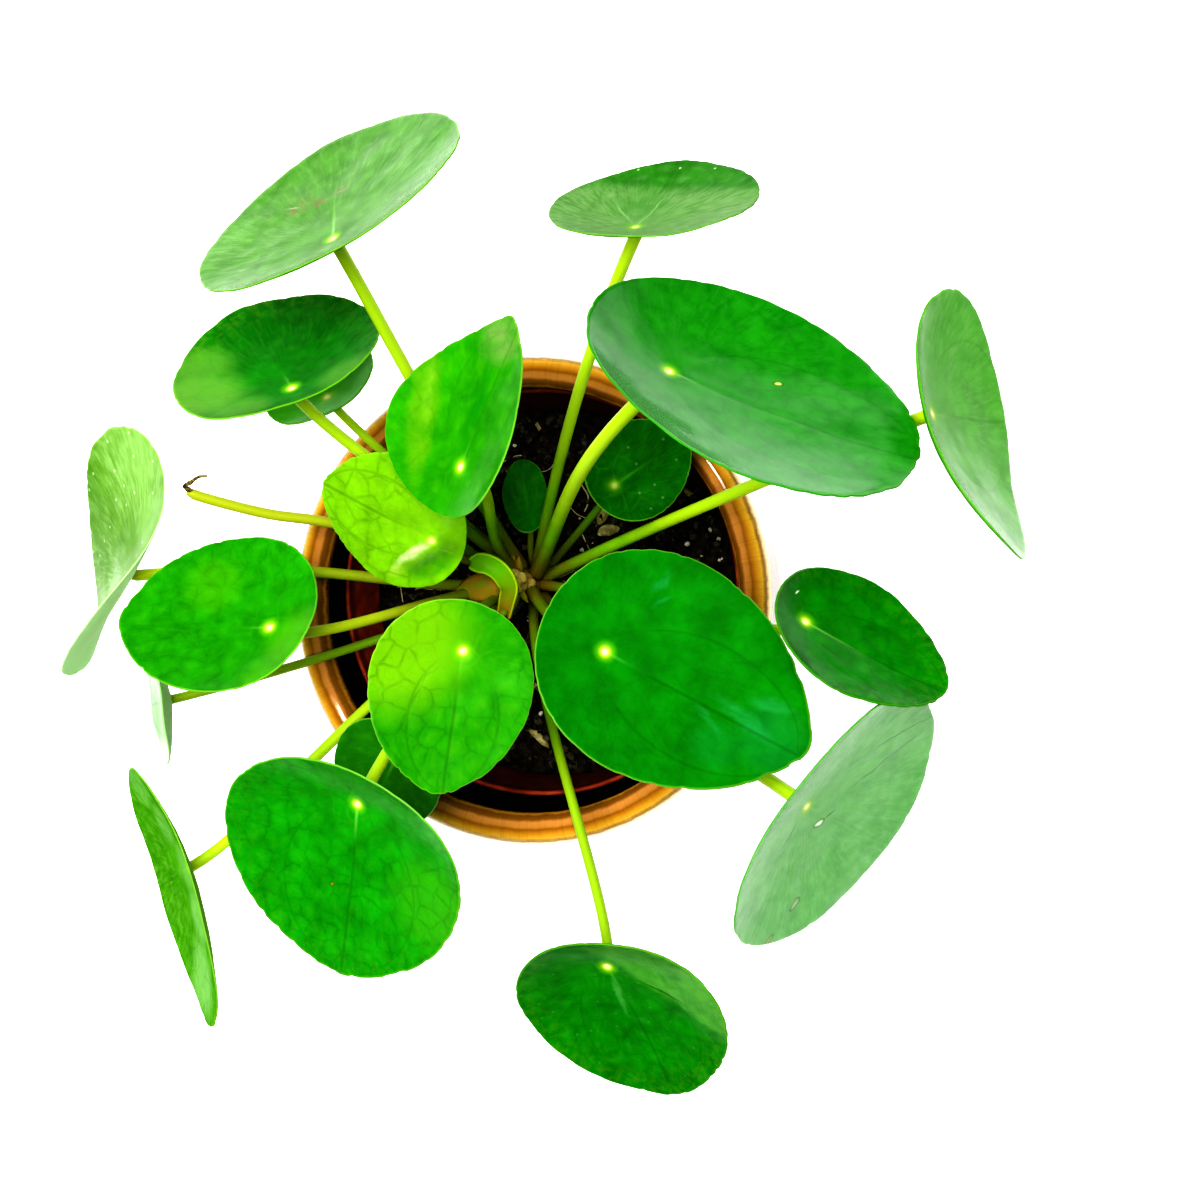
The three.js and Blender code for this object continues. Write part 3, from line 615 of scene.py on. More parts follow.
def makeStem():
    s = stemShape
    rand = random.Random(s["seed"])
    heights = [s["foot"] + 0.5 * i for i in range(int((s["top"] - s["foot"]) * 2) + 1)]
    profile = [(0, s["foot"])]
    for z in heights:
        ring = 0.5 - 0.5 * math.cos(2 * math.pi * (z - s["foot"]) / s["scarPitch"])
        profile.append((stemRadiusAt(z) - s["scarDepth"] * ring, z))
    profile += [(s["tip"] * 0.6, s["top"] + 0.6), (0, s["top"] + 0.8)]
    bm = turnedShape(profile, s["steps"])
    for v in bm.verts:
        swell = noise.fractal(v.co * 260, 0.7, 2, 3)
        v.co += Vector((v.co.x, v.co.y, 0)).normalized() * swell * 0.35 * mm
    bmesh.ops.translate(bm, verts=bm.verts, vec=(s["centre"][0] * mm, s["centre"][1] * mm, 0))
    finishPiece("stemColumn", bm, [stemBark()], ["main_stem"])

    # stipules: thin pointed scales folded round the growing tip, and one broad papery hood
    bm = bmesh.new()
    for i in range(s["stipules"]):
        azimuth = 95 + 250 * i / s["stipules"] + rand.uniform(-15, 15)
        foot = Vector((*s["centre"], rand.uniform(*s["stipuleRise"])))
        foot += heading(azimuth, 0) * (stemRadiusAt(foot.z) - 0.2)
        length, width = rand.uniform(*s["stipuleLength"]), rand.uniform(*s["stipuleWidth"])
        addStipule(bm, foot, azimuth, length, width, rand.uniform(*s["stipuleLean"]), 40)
    addStipule(bm, Vector(s["hoodFoot"]), s["hoodTurn"], s["hoodLength"], s["hoodWidth"], 14, 26)
    bmesh.ops.remove_doubles(bm, verts=bm.verts, dist=0.00001)
    bmesh.ops.recalc_face_normals(bm, faces=bm.faces)
    bmesh.ops.solidify(bm, geom=bm.faces, thickness=s["stipuleThick"] * mm)
    finishPiece("dryStipules", bm, [dryStipule()])

    # swollen joints where the petioles meet the stem
    bm = bmesh.new()
    for i in range(s["knobs"]):
        azimuth = 360 * i / s["knobs"] + rand.uniform(-20, 20)
        z = rand.uniform(*s["knobRise"])
        at = Vector((*s["centre"], z)) + heading(azimuth, 0) * (stemRadiusAt(z) - 0.3)
        size = rand.uniform(*s["knobSize"])
        lump = bmesh.ops.create_icosphere(bm, subdivisions=3, radius=size * mm)["verts"]
        for v in lump:
            v.co *= 1 + 0.25 * noise.noise(v.co * 900 + Vector((i, 0, 0)))
        bmesh.ops.translate(bm, verts=lump, vec=at * mm)
    finishPiece("petioleJoints", bm, [stemBark()])


makeStem()
print("stem grown")

# leaves: the same places and forms as the solids, with the veins, folds and colours of each
# a mark is (x, y, length, width, turn, tone); a wash has its share and firmness besides; a patch is
# (x, y, size, share), a scar (x, y, size) and a bump (x, y, size, rise), all from the stalk, in mm
# most washes and some patches are painted light: sheen where a leaf tilts, highlights on crests, shade on
# planes turned away; dark green narrow marks are painted shade in creases
plainLeaf = dict(cup=3, sides=0, twist=0, side=0, back=0.27, egg=0.12, point=1.5, square=0.5, arrive=None,
                 slim=1, veins=0.3, net=0.2, puff=0.2, nearVein="4c9a1c", rim=0.3, patches=(),
                 patchTone="467d10", scars=(), rough=0.24, gloss=0.5, wrinkle=0.12, bumps=(), dot=0.9,
                 streaks=0.1, pores=0, marks=(), below="6c9440", washes=(), brushed=False, rimMottle=0,
                 start=0.35, startLength=9)
leaves = [
    # leaf 1: its wash paints a sheen along one side
    dict(at=(-34, 97, 205), lean=53, toward=116, tip=112, long=74, wide=83, cup=5, side=-1, back=0.28,
         root=(110, 109), rise=50, reach=50, hold=30, square=0.1, thick=3.6,
         tones=("32660c", "427a16"), below="3c7014", gloss=0.16, wrinkle=0.3, veins=0.12, net=0.08,
         nearVein="74a458", start=0.6, startLength=26, streaks=0.2, brushed=True,
         scars=((27.7, 11.1, 4.5), (24.2, 4.8, 2.5), (25.9, -2.6, 2.5)),
         marks=((25, -2.6, 5, 0.7, 80, "707850"), (28, 13, 6, 0.8, 60, "8c9870"),
                (24, 6, 5, 0.8, 110, "585c30"), (27, 20, 7, 0.5, 85, "505828")),
         washes=((22, 36, 50, 26, 100, "5c8c3c", 0.5, 0.3),)),
    dict(at=(-54, 59, 182), lean=50, toward=97, tip=136, long=60, wide=61, cup=5,
         root=(126, 113), rise=55, reach=40, hold=26, square=0.3, thick=3.4,
         tones=("045a00", "0a7004"), below="5c9020", gloss=0.04, rough=0.4, wrinkle=0.25, veins=0.1,
         net=0.08, puff=0.1, nearVein="5c9c38", rimMottle=0.2, start=0.3, streaks=0.15,
         patchTone="5c8c34",
         patches=((10, 24, 13, 0.8), (-4, 16, 9, 0.6), (24, 20, 10, 0.6), (-8, -14, 8, 0.5))),
    dict(at=(-54, 59, 152), lean=40, toward=105, tip=130, long=35, wide=35, cup=2, back=0.28,
         root=(131, 103.6), rise=45, reach=35, hold=16, thick=2.6,
         tones=("409410", "50a420"), gloss=0.1),
    # leaf 4: the broad pale wash paints the sheen over its lower half
    dict(at=(48, 98, 200), lean=60, toward=92, tip=72, long=54, wide=57, cup=4, side=-3, back=0.3,
         root=(62, 108), rise=50, reach=45, arrive=(-125, 34), hold=40, thick=3.4,
         tones=("1a5c00", "287000"), below="4c8018", gloss=0.04, rough=0.4, wrinkle=0.3, veins=0.15,
         net=0.06, nearVein="7ca468", rim=0.08, dot=0.45, start=0.2, streaks=0.05, brushed=True,
         patchTone="6c9458",
         marks=((8, 6.2, 19, 0.9, 38, "709858"), (10, -1.2, 20, 0.9, -7, "709858"),
                (32, 10.2, 1.2, 0.9, 0, "b0c48c"), (34.1, -1.2, 1.2, 0.9, 0, "b0c48c"),
                (33.1, -11.7, 1.2, 0.9, 0, "b0c48c")),
         washes=((-10, 0, 66, 120, -4, "62844c", 0.95, 0.85), (13, 3, 20, 20, 0, "2c6c14", 0.55, 0.3))),
    # leaf 5: the two pale bands and the greyed tip are painted sheen
    dict(at=(-2, 36, 192), lean=36, toward=160, tip=66, long=54, wide=49, cup=0, sides=6, side=4,
         egg=0.25, point=4,
         root=(114, 119), rise=60, reach=25, hold=22, thick=3.2,
         tones=("1c6e00", "2c8004"), gloss=0.12, wrinkle=0.08, veins=0.2, net=0.14, puff=0.2,
         nearVein="5c9a10", start=0.1,
         washes=((9, 19.5, 50, 11, 16, "568410", 0.95, 0.3), (14, 20.5, 30, 4, 18, "6c9428", 0.5, 0.2),
                 (36, 4, 17, 20, -10, "647e47", 0.95, 0.3), (16, 3, 34, 9, 12, "0a6c06", 0.8, 0.3))),
    # leaf 6: its washes paint a plane in shade below the crest, a highlight along the crest and a lighter
    # end
    dict(at=(-17, 17, 168), lean=22, toward=240, tip=155, long=46, wide=40, cup=-2, back=0.2,
         bumps=((-3, -5, 4, 1.0), (0.5, 0, 4, 1.0), (3, 5, 4, 1.2), (6, 10, 4, 1.0), (-6, 3, 5, -1.4),
                (-2, 8, 5, -1.8), (2, 14, 5, -1.6)),
         root=(152, 118), rise=15, reach=12, arrive=(137, 85), hold=30, thick=2.8,
         tones=("588604", "6ca00c"), gloss=0.3, wrinkle=0.2, veins=0.45, net=0.4, nearVein="7aa020",
         dot=0.5, start=0.0,
         washes=((-1.5, 8.5, 24, 8, 52, "3a7a06", 0.95, 0.4), (-5.5, 1.5, 9, 8, 40, "3b6c06", 0.6, 0.4),
                 (3.6, 5.5, 22, 3.6, 58, "a4b480", 1.0, 0.2),
                 (6.8, 9.5, 15, 2.4, 64, "a4b480", 1.0, 0.2), (8.6, 14.5, 9, 5, 60, "7c9c30", 0.8, 0.2))),
    dict(at=(59, 59, 210), lean=56, toward=55, tip=-26, long=94, wide=76, cup=8, egg=0, point=0,
         root=(40, 114), rise=58, reach=45, arrive=(-146, 25), hold=45, thick=4,
         tones=("086a04", "1e7c10"), below="2c7c10", gloss=0.38, wrinkle=0.05, puff=0.12,
         nearVein="4c9040", rim=0.1, start=0.5, streaks=0.12,
         marks=((27.1, 12.5, 2.4, 1.6, 20, "c0c060"),)),
    # leaf 8: its dark wash paints shade over the lower end, against the sheen there
    dict(at=(124, 49, 182), lean=72, toward=16, tip=-5, long=54, wide=75, cup=4, sides=7, twist=6,
         side=-5,
         root=(20, 108), rise=40, reach=50, hold=30, thick=3.6,
         tones=("40841c", "50982c"), below="448418", gloss=0.15, wrinkle=0.12, net=0.1,
         nearVein="7cac60", rim=0.15, start=0.2, streaks=0.25, brushed=True,
         washes=((10, -36, 40, 46, 0, "2c5c24", 0.4, 0.3),)),
    # leaf 9: the patches and the three long washes paint a bluish sheen; the two small washes are scuffs
    dict(at=(37, -14, 188), lean=29, toward=36, tip=-30, long=78, wide=64, side=3, back=0.25, egg=0.15,
         point=3,
         root=(-35, 118), rise=60, reach=25, hold=25, thick=3.6,
         tones=("055e02", "0a7206"), wrinkle=0.1, net=0.1, puff=0.06, nearVein="2c8c30", start=0.25,
         startLength=7, streaks=0.08, brushed=True, patchTone="1c8c50",
         patches=((50, 0, 10, 0.2), (38, -9, 7, 0.15)),
         washes=((4.3, 24.3, 9, 4, 80, "2c8c5c", 0.4, 0.2), (7, 20, 8, 2, 60, "2c8c5c", 0.3, 0.2),
                 (42, 2, 26, 6, -12, "34905c", 0.35, 0.2), (46, 9, 16, 5, 10, "34905c", 0.3, 0.2),
                 (33, -3, 14, 3, -30, "34905c", 0.3, 0.2))),
    dict(at=(89, -6, 172), lean=54, toward=50, tip=-32, long=52, wide=45, cup=4, side=1.5, back=0.2,
         root=(-5, 110), rise=45, reach=40, hold=20, thick=3,
         tones=("045c02", "0c7406"), below="2c6c08", gloss=0.1, wrinkle=0.1, puff=0.15,
         nearVein="3c8c14", rim=0.15, rimMottle=0.14, start=0.5, startLength=20, streaks=0.06,
         marks=((-5.8, 6.4, 2.6, 0.7, 70, "e8ecdc"), (8, -5.5, 9, 0.5, -12, "083c04"))),
    # leaf 11: the dark narrow marks are painted shade in its creases
    dict(at=(89, -56, 170), lean=66, toward=-34, tip=-38, long=65, wide=84, cup=4, back=0.28, point=0,
         root=(-44, 106), rise=45, reach=50, hold=20, thick=3.8,
         tones=("4c8c40", "609e50"), below="3c7c24", gloss=0.3, wrinkle=0.22, veins=0.1, net=0.08,
         nearVein="7cb078", rim=0.1, streaks=0.25,
         marks=((10.4, -2.8, 3.6, 2.2, 60, "c8d4bc"), (21.9, -26.6, 4.2, 2, 80, "8c9c70"),
                (19.7, -38.8, 4, 1.6, 80, "8c8c60"), (15.5, 30.5, 29, 0.8, 54, "1c5c14"),
                (19, 22.7, 37, 0.8, 65.5, "1c5c14"), (0.7, -9.2, 9, 0.7, 90, "1c5c14"),
                (12.4, 0.8, 5, 0.9, 64, "0c3c0c"))),
    # leaf 12: the broad wash paints the pale sheen of its upper part; the dark mark is painted shade in a
    # crease
    dict(at=(31, -103, 158), lean=41, toward=-100, tip=-67, long=64, wide=62, cup=6, back=0.25,
         root=(-73, 108), rise=55, reach=45, hold=22, square=0.4, thick=3.6, slim=0.82,
         tones=("045e00", "0c7406"), below="3c7008", gloss=0.05, wrinkle=0.12, puff=0.15,
         nearVein="4c9838", rim=0.15, rimMottle=0.16, start=0.08, startLength=16, streaks=0.08,
         pores=0.06, patchTone="5c9040",
         marks=((10.7, 12.8, 20, 0.8, 48, "063c02"),),
         washes=((5, 27, 90, 32, 40, "4c8a30", 0.95, 0.85),
                 (11.2, -1.6, 19, 2.4, -7.5, "4c8848", 0.75, 0.2))),
    dict(at=(-40, -58, 166), lean=28, toward=-125, tip=-102, long=70, wide=80, cup=5, side=-2, back=0.2,
         root=(-128, 110), rise=55, reach=35, arrive=(82, 50), hold=22, thick=3.6,
         tones=("086a00", "128408"), net=0.28, puff=0.12, rimMottle=0.1, start=0.6, startLength=12,
         patchTone="3c8c10",
         patches=((22, 28, 14, 0.6),),
         marks=((28.8, -6.2, 1.6, 1.4, 0, "7a6a1c"), (56.1, 5.1, 2, 1.6, 0, "b8a83c"))),
    dict(at=(-5, -14, 180), lean=20, toward=-35, tip=-101, long=55, wide=46, cup=2, side=-2,
         root=(-140, 120), rise=70, reach=25, hold=18, thick=3,
         tones=("1c7200", "2e8400"), wrinkle=0.1, veins=0.42, net=0.34, puff=0.25, nearVein="5a9a10",
         start=0.1, patchTone="74a00c",
         patches=((-2, -20, 22, 0.75),)),
    dict(at=(-65, -8, 170), lean=32, toward=100, tip=182, long=61, wide=52, cup=4, side=-3, back=0.25,
         root=(190, 116), rise=55, reach=30, hold=20, thick=3.2,
         tones=("166800", "227e06"), gloss=0.1, veins=0.12, start=0.25, startLength=8,
         patchTone="4c8c04",
         patches=((-10, 6, 10, 0.6), (-6, 20, 10, 0.5), (20, -14, 9, 0.4))),
    # leaf 16: its very pale underside, patches and washes paint the light on its lower lobe
    dict(at=(-116, 8, 150), lean=58, toward=152, tip=180, long=54, wide=76, sides=7, twist=-22, side=-3,
         root=(184, 110), rise=42, reach=38, arrive=(6, 24), hold=60, thick=3.4,
         tones=("467214", "547e22"), below="b4dca0", gloss=0.05, wrinkle=0.1, veins=0.1, net=0.05,
         nearVein="8cb070", streaks=0.3, brushed=True, pores=0.6, patchTone="6c9448",
         patches=((-6, -16, 11, 0.9), (4, -34, 10, 0.8)),
         washes=((8, -30, 44, 40, 0, "7ca058", 0.8, 0.3), (16, 10, 30, 40, 0, "7ca45c", 0.55, 0.3))),
    dict(at=(-108, -30, 140), lean=62, toward=190, tip=190, long=36, wide=38,
         root=(206, 108), rise=45, reach=45, hold=22, thick=2.8,
         tones=("6c9060", "7c9c6c"), below="88b078", gloss=0.12, net=0.05),
    # leaf 18: its patches paint the light on one side of its fold
    dict(at=(-101, -80, 142), lean=56, toward=200, tip=205, long=54, wide=82, sides=3, side=6,
         root=(214, 104), rise=52, reach=50, hold=24, thick=3.4,
         tones=("3c7c06", "4c8c10"), gloss=0.0, rough=0.5, nearVein="80ac58", streaks=0.3, pores=0.15,
         patchTone="78a860",
         patches=((10, -30, 8, 0.5), (6, -15, 7, 0.5), (2, 0, 8, 0.6), (4, 15, 9, 0.8),
                  (14, 32, 12, 0.9), (24, 36, 8, 0.7))),
    dict(at=(-37, -46, 138), lean=15, toward=-130, tip=-120, long=34, wide=36, cup=2, back=0.3,
         root=(-122, 103), rise=45, reach=22, hold=14, thick=2.4,
         tones=("165e00", "226e06")),
    dict(at=(29, 33, 140), lean=10, toward=30, tip=35, long=32, wide=29, cup=2, back=0.22,
         root=(38, 104), rise=50, reach=18, hold=12, thick=2.4,
         tones=("044a00", "085c04"), gloss=0.06, rough=0.45, puff=0.1, dot=0.25, start=0.05, pores=0.14),
    dict(at=(-2, 26, 119), lean=12, toward=100, tip=100, long=23, wide=14, cup=1, egg=0, point=0,
         root=(85, 104), rise=60, reach=9, hold=7, thick=2,
         tones=("045604", "0a6a0a"), dot=0.0, start=0.0),
]
bladeDetail = dict(thick=0.9, spokes=144, rings=26, waves=5, waveHeight=0.3, tipSpread=0.3, fold=0.5,
                   ripple=0.12, arcWidth=0.55, trim=0.988, scallop=0.012, rimBevel=0.16, thinning=0.4,
                   midribDepth=0.14, midribWidth=1.3, arcDepth=0.08, arcVeinWidth=1.4, dimple=0.3)

# sizes are in mm, the noise step in metres from leaf to leaf; a layer of the dot has its inner and outer
# radius, share, fade and tone
skinLook = dict(noiseStep=(0.131, 0.217), mottle=9, crust=2.2, bend=5, sway=3.5, markSway=1.5, net=6.2,
                fineNet=2.6, pores=5, poreTone="b8c8a8", blotchTone="688414", marginTone="8ab43c",
                scarTone="645c30", outlineTone="2c4010", startTone="7cac58",
                dot=((1.2, 4.2, 0.6, "SMOOTHERSTEP", "6cac14"), (0.8, 2.3, 1, "SMOOTHSTEP", "a8b82c"),
                     (0.3, 1.4, 1, "SMOOTHSTEP", "dcd49c")))


def bladeAxes(leaf):
    out = heading(leaf["toward"], 90 - leaf["lean"])
    along = heading(leaf["tip"], 0)
    along.z = -math.tan(math.radians(leaf["lean"])) * math.cos(math.radians(leaf["tip"] - leaf["toward"]))
    along.normalize()
    return along, out.cross(along), out


# where the arching side vein runs, as a distance from the midrib
def arcOffset(leaf, x):
    front = leaf["long"] * (1 - leaf["back"])
    share = min(max(x / front, 0), 1)
    return bladeDetail["arcWidth"] * leaf["wide"] / 2 * (4 * share * (1 - share)) ** 0.6


def rimPoint(leaf, turn):
    d = bladeDetail
    centre = leaf["long"] * (0.5 - leaf["back"])
    wrapped = turn - 2 * math.pi if turn > math.pi else turn
    drawn = leaf["point"] * math.exp(-(wrapped / d["tipSpread"]) ** 2)
    x = centre + leaf["long"] / 2 * math.cos(turn) + drawn
    y = leaf["wide"] / 2 * math.sin(turn) * (1 - leaf["egg"] * math.cos(turn)) + leaf["side"]
    return x, y


def bladeLift(leaf, number, x, y, share, turn):
    d = bladeDetail
    flank = y / (leaf["wide"] / 2)
    front = x / (leaf["long"] * (1 - leaf["back"]))
    wave = d["waveHeight"] * share ** 3 * math.sin(d["waves"] * turn)
    form = leaf["cup"] * share ** 1.8 + leaf["sides"] * flank ** 2 + leaf["twist"] * front * flank + wave
    # folds and puckers between the veins, and a dimple over the stalk
    fold = noise.noise(Vector((x * 0.07, y * 0.07, number * 3.7))) * d["fold"] * smoothstep(0.1, 0.6, share)
    ripple = noise.noise(Vector((x * 0.2, y * 0.2, number * 5.1))) * d["ripple"]
    vein = d["midribDepth"] * math.exp(-(y / d["midribWidth"]) ** 2) * smoothstep(0, 6, x)
    vein *= 1 - 0.8 * share
    fromArc = (abs(y) - arcOffset(leaf, x)) / d["arcVeinWidth"]
    vein += d["arcDepth"] * math.exp(-fromArc ** 2) * smoothstep(2, 9, x)
    dimple = d["dimple"] * math.exp(-(x * x + y * y) / 5)
    swell = sum(rise * math.exp(-((x - cx) ** 2 + (y - cy) ** 2) / size ** 2)
                for cx, cy, size, rise in leaf["bumps"])
    return form + (fold + ripple - vein) * (1 - 0.6 * share ** 6) - dimple + swell


# how far a point lies from the middle of an ellipse, where 1 is its outline
def ellipseReach(tree, place, cx, cy, length, width, turn):
    own = addNode(tree, "Mapping",
                  {"Vector": place, "Location": (cx * mm, cy * mm, 0),
                   "Rotation": (0, 0, math.radians(turn)),
                   "Scale": (length / 2 * mm, width / 2 * mm, 1)}, vector_type="TEXTURE")
    return addNode(tree, "VectorMath", {0: own}, operation="LENGTH")


def leafBlade(number, leaf):
    # living pilea leaf: waxy green skin over a faint net of veins, paler below, a yellow dot at the stalk;
    # its washes, some patches and dark creases hold painted sheen, highlights and shade
    k = skinLook
    material, tree = newMaterial(f"leafBlade{number:02d}")
    deep, light = leaf["tones"]
    shiftX, shiftY = (number * step for step in k["noiseStep"])
    sheet = addNode(tree, "Attribute", attribute_name="sheet")
    parts = addNode(tree, "SeparateXYZ", {0: sheet.outputs["Vector"]})
    flat = addNode(tree, "CombineXYZ", {0: parts.outputs["X"], 1: parts.outputs["Y"]})
    reach = addNode(tree, "VectorMath", {0: flat}, operation="LENGTH")
    shift = addNode(tree, "Mapping", {"Vector": flat, "Location": (shiftX, shiftY, 0)})
    mottle = addNode(tree, "TexNoise",
                     {"Vector": shift, "Scale": perSize(k["mottle"]), "Detail": 4, "Roughness": 0.6})
    crust = addNode(tree, "TexNoise", {"Vector": shift, "Scale": perSize(k["crust"]), "Detail": 2})
    tone = addNode(tree, "ValToRGB", {"Fac": mottle}, stops=[(0.32, deep), (0.68, light)])
    # fine streaks that fan out from the stalk
    fan = addNode(tree, "VectorMath", {0: flat}, operation="NORMALIZE")
    fanParts = addNode(tree, "SeparateXYZ", {0: fan})
    drawn = addNode(tree, "Math", {0: parts.outputs["Z"], 1: 0.35}, operation="MULTIPLY")
    fanPlace = addNode(tree, "CombineXYZ", {0: fanParts.outputs["X"], 1: fanParts.outputs["Y"], 2: drawn})
    wrinkles = addNode(tree, "TexNoise", {"Vector": fanPlace, "Scale": 22, "Detail": 4, "Roughness": 0.6})
    # paler patches: the leaf's own paler tone, and on some leaves painted sheen and light
    patch = addNode(tree, "Attribute", attribute_name="pale")
    paled = addNode(tree, "Mix", {0: patch.outputs["Fac"], 6: tone, 7: leaf["patchTone"]}, data_type="RGBA")
    # net of small veins, bent a little so that no line is straight, and stronger in places
    bend = addNode(tree, "TexNoise", {"Vector": shift, "Scale": perSize(k["bend"]), "Detail": 2})
    sway, markSway = k["sway"] * mm, k["markSway"] * mm
    bent = addNode(tree, "VectorMath", {0: bend.outputs["Color"], 1: (sway, sway, 0), 2: shift},
                   operation="MULTIPLY_ADD")
    # soft washes of another tone: painted sheen on a crest, a plane in painted shade, a darker tone in a
    # hollow
    washPlace = addNode(tree, "Mapping",
                        {"Vector": bent, "Location": (-shiftX - sway / 2, -shiftY - sway / 2, 0)})
    unevenness = wrinkles if leaf["brushed"] else mottle
    broken = addNode(tree, "MapRange",
                     {"Value": unevenness, "From Min": 0.35, "From Max": 0.6, "To Min": 0.45})
    for *ellipse, washTone, share, firmness in leaf["washes"]:
        off = ellipseReach(tree, washPlace, *ellipse)
        within = addNode(tree, "MapRange",
                         {"Value": off, "From Min": firmness, "From Max": 1.1, "To Min": share,
                          "To Max": 0.0}, interpolation_type="SMOOTHSTEP")
        washShare = addNode(tree, "Math", {0: within, 1: broken}, operation="MULTIPLY")
        paled = addNode(tree, "Mix", {0: washShare, 6: paled, 7: washTone}, data_type="RGBA")
    net = addNode(tree, "TexVoronoi",
                  {"Vector": bent, "Scale": perSize(k["net"]), "Randomness": 0.9},
                  feature="DISTANCE_TO_EDGE", voronoi_dimensions="2D")
    netLine = addNode(tree, "MapRange",
                      {"Value": net, "From Min": 0.0, "From Max": 0.13, "To Min": leaf["net"],
                       "To Max": 0.0}, interpolation_type="SMOOTHSTEP")
    fine = addNode(tree, "TexVoronoi",
                   {"Vector": bent, "Scale": perSize(k["fineNet"]), "Randomness": 0.9},
                   feature="DISTANCE_TO_EDGE", voronoi_dimensions="2D")
    fineLine = addNode(tree, "MapRange",
                       {"Value": fine, "From Min": 0.0, "From Max": 0.12, "To Min": leaf["net"] * 0.35,
                        "To Max": 0.0})
    netting = addNode(tree, "Math", {0: netLine, 1: fineLine}, operation="MAXIMUM")
    uneven = addNode(tree, "MapRange", {"Value": bend, "From Min": 0.35, "From Max": 0.6, "To Min": 0.25})
    netShare = addNode(tree, "Math", {0: netting, 1: uneven}, operation="MULTIPLY")
    # midrib in front of the stalk, and the arching vein on each side of it
    aside = addNode(tree, "Math", {0: parts.outputs["Y"]}, operation="ABSOLUTE")
    midrib = addNode(tree, "MapRange",
                     {"Value": aside, "From Min": 0.15 * mm, "From Max": 0.8 * mm, "To Min": leaf["veins"],
                      "To Max": 0.0}, interpolation_type="SMOOTHSTEP")
    arc = addNode(tree, "Attribute", attribute_name="arc")
    offArc = addNode(tree, "Math", {0: arc.outputs["Fac"]}, operation="ABSOLUTE")
    arcLine = addNode(tree, "MapRange",
                      {"Value": offArc, "From Min": 0.15 * mm, "From Max": 0.7 * mm,
                       "To Min": leaf["veins"] * 0.7, "To Max": 0.0}, interpolation_type="SMOOTHSTEP")
    ahead = addNode(tree, "MapRange", {"Value": parts.outputs["X"], "From Min": 0.0, "From Max": 5 * mm})
    both = addNode(tree, "Math", {0: midrib, 1: arcLine}, operation="MAXIMUM")
    main = addNode(tree, "Math", {0: both, 1: ahead}, operation="MULTIPLY")
    veins = addNode(tree, "Math", {0: main, 1: netShare}, operation="MAXIMUM")
    # veins are pale where they leave the dot and dark further out
    outward = addNode(tree, "MapRange", {"Value": reach, "From Min": 3 * mm, "From Max": 16 * mm})
    veinTone = addNode(tree, "Mix",
                       {0: outward, 6: leaf["nearVein"], 7: darker(deep, 0.7)}, data_type="RGBA")
    puff = addNode(tree, "MapRange",
                   {"Value": net, "From Min": 0.12, "From Max": 0.5, "To Min": 0.0, "To Max": leaf["puff"]},
                   interpolation_type="SMOOTHSTEP")
    puffShare = addNode(tree, "Math", {0: puff, 1: uneven}, operation="MULTIPLY")
    puffed = addNode(tree, "Mix", {0: puffShare, 6: paled, 7: leaf["nearVein"]}, data_type="RGBA")
    veined = addNode(tree, "Mix", {0: veins, 6: puffed, 7: veinTone}, data_type="RGBA")
    streak = addNode(tree, "MapRange",
                     {"Value": wrinkles, "From Min": 0.46, "From Max": 0.68, "To Min": 0.0,
                      "To Max": leaf["streaks"]})
    clear = addNode(tree, "MapRange", {"Value": parts.outputs["Z"], "From Min": 0.15, "From Max": 0.6})
    streakShare = addNode(tree, "Math", {0: streak, 1: clear}, operation="MULTIPLY")
    skinTone = addNode(tree, "Mix", {0: streakShare, 6: veined, 7: leaf["nearVein"]}, data_type="RGBA")
    if leaf["pores"]:
        # white crusts on the water pores
        pore = addNode(tree, "TexVoronoi", {"Vector": shift, "Scale": perSize(k["pores"])},
                       voronoi_dimensions="2D")
        lottery = addNode(tree, "SeparateColor", {"Color": pore.outputs["Color"]})
        drawnPore = addNode(tree, "Math", {0: lottery, 1: 0.75}, operation="GREATER_THAN")
        poreSpot = addNode(tree, "MapRange",
                           {"Value": pore, "From Min": 0.03, "From Max": 0.11, "To Min": leaf["pores"],
                            "To Max": 0.0})
        poreShare = addNode(tree, "Math", {0: drawnPore, 1: poreSpot}, operation="MULTIPLY")
        skinTone = addNode(tree, "Mix", {0: poreShare, 6: skinTone, 7: k["poreTone"]}, data_type="RGBA")
    if leaf["rimMottle"]:
        # yellowing blotches towards the margin
        nearRim = addNode(tree, "MapRange",
                          {"Value": parts.outputs["Z"], "From Min": 0.7, "From Max": 0.97, "To Min": 0.0,
                           "To Max": leaf["rimMottle"]})
        blotch = addNode(tree, "MapRange", {"Value": crust, "From Min": 0.47, "From Max": 0.58})
        blotchShare = addNode(tree, "Math", {0: nearRim, 1: blotch}, operation="MULTIPLY")
        skinTone = addNode(tree, "Mix", {0: blotchShare, 6: skinTone, 7: k["blotchTone"]},
                           data_type="RGBA")
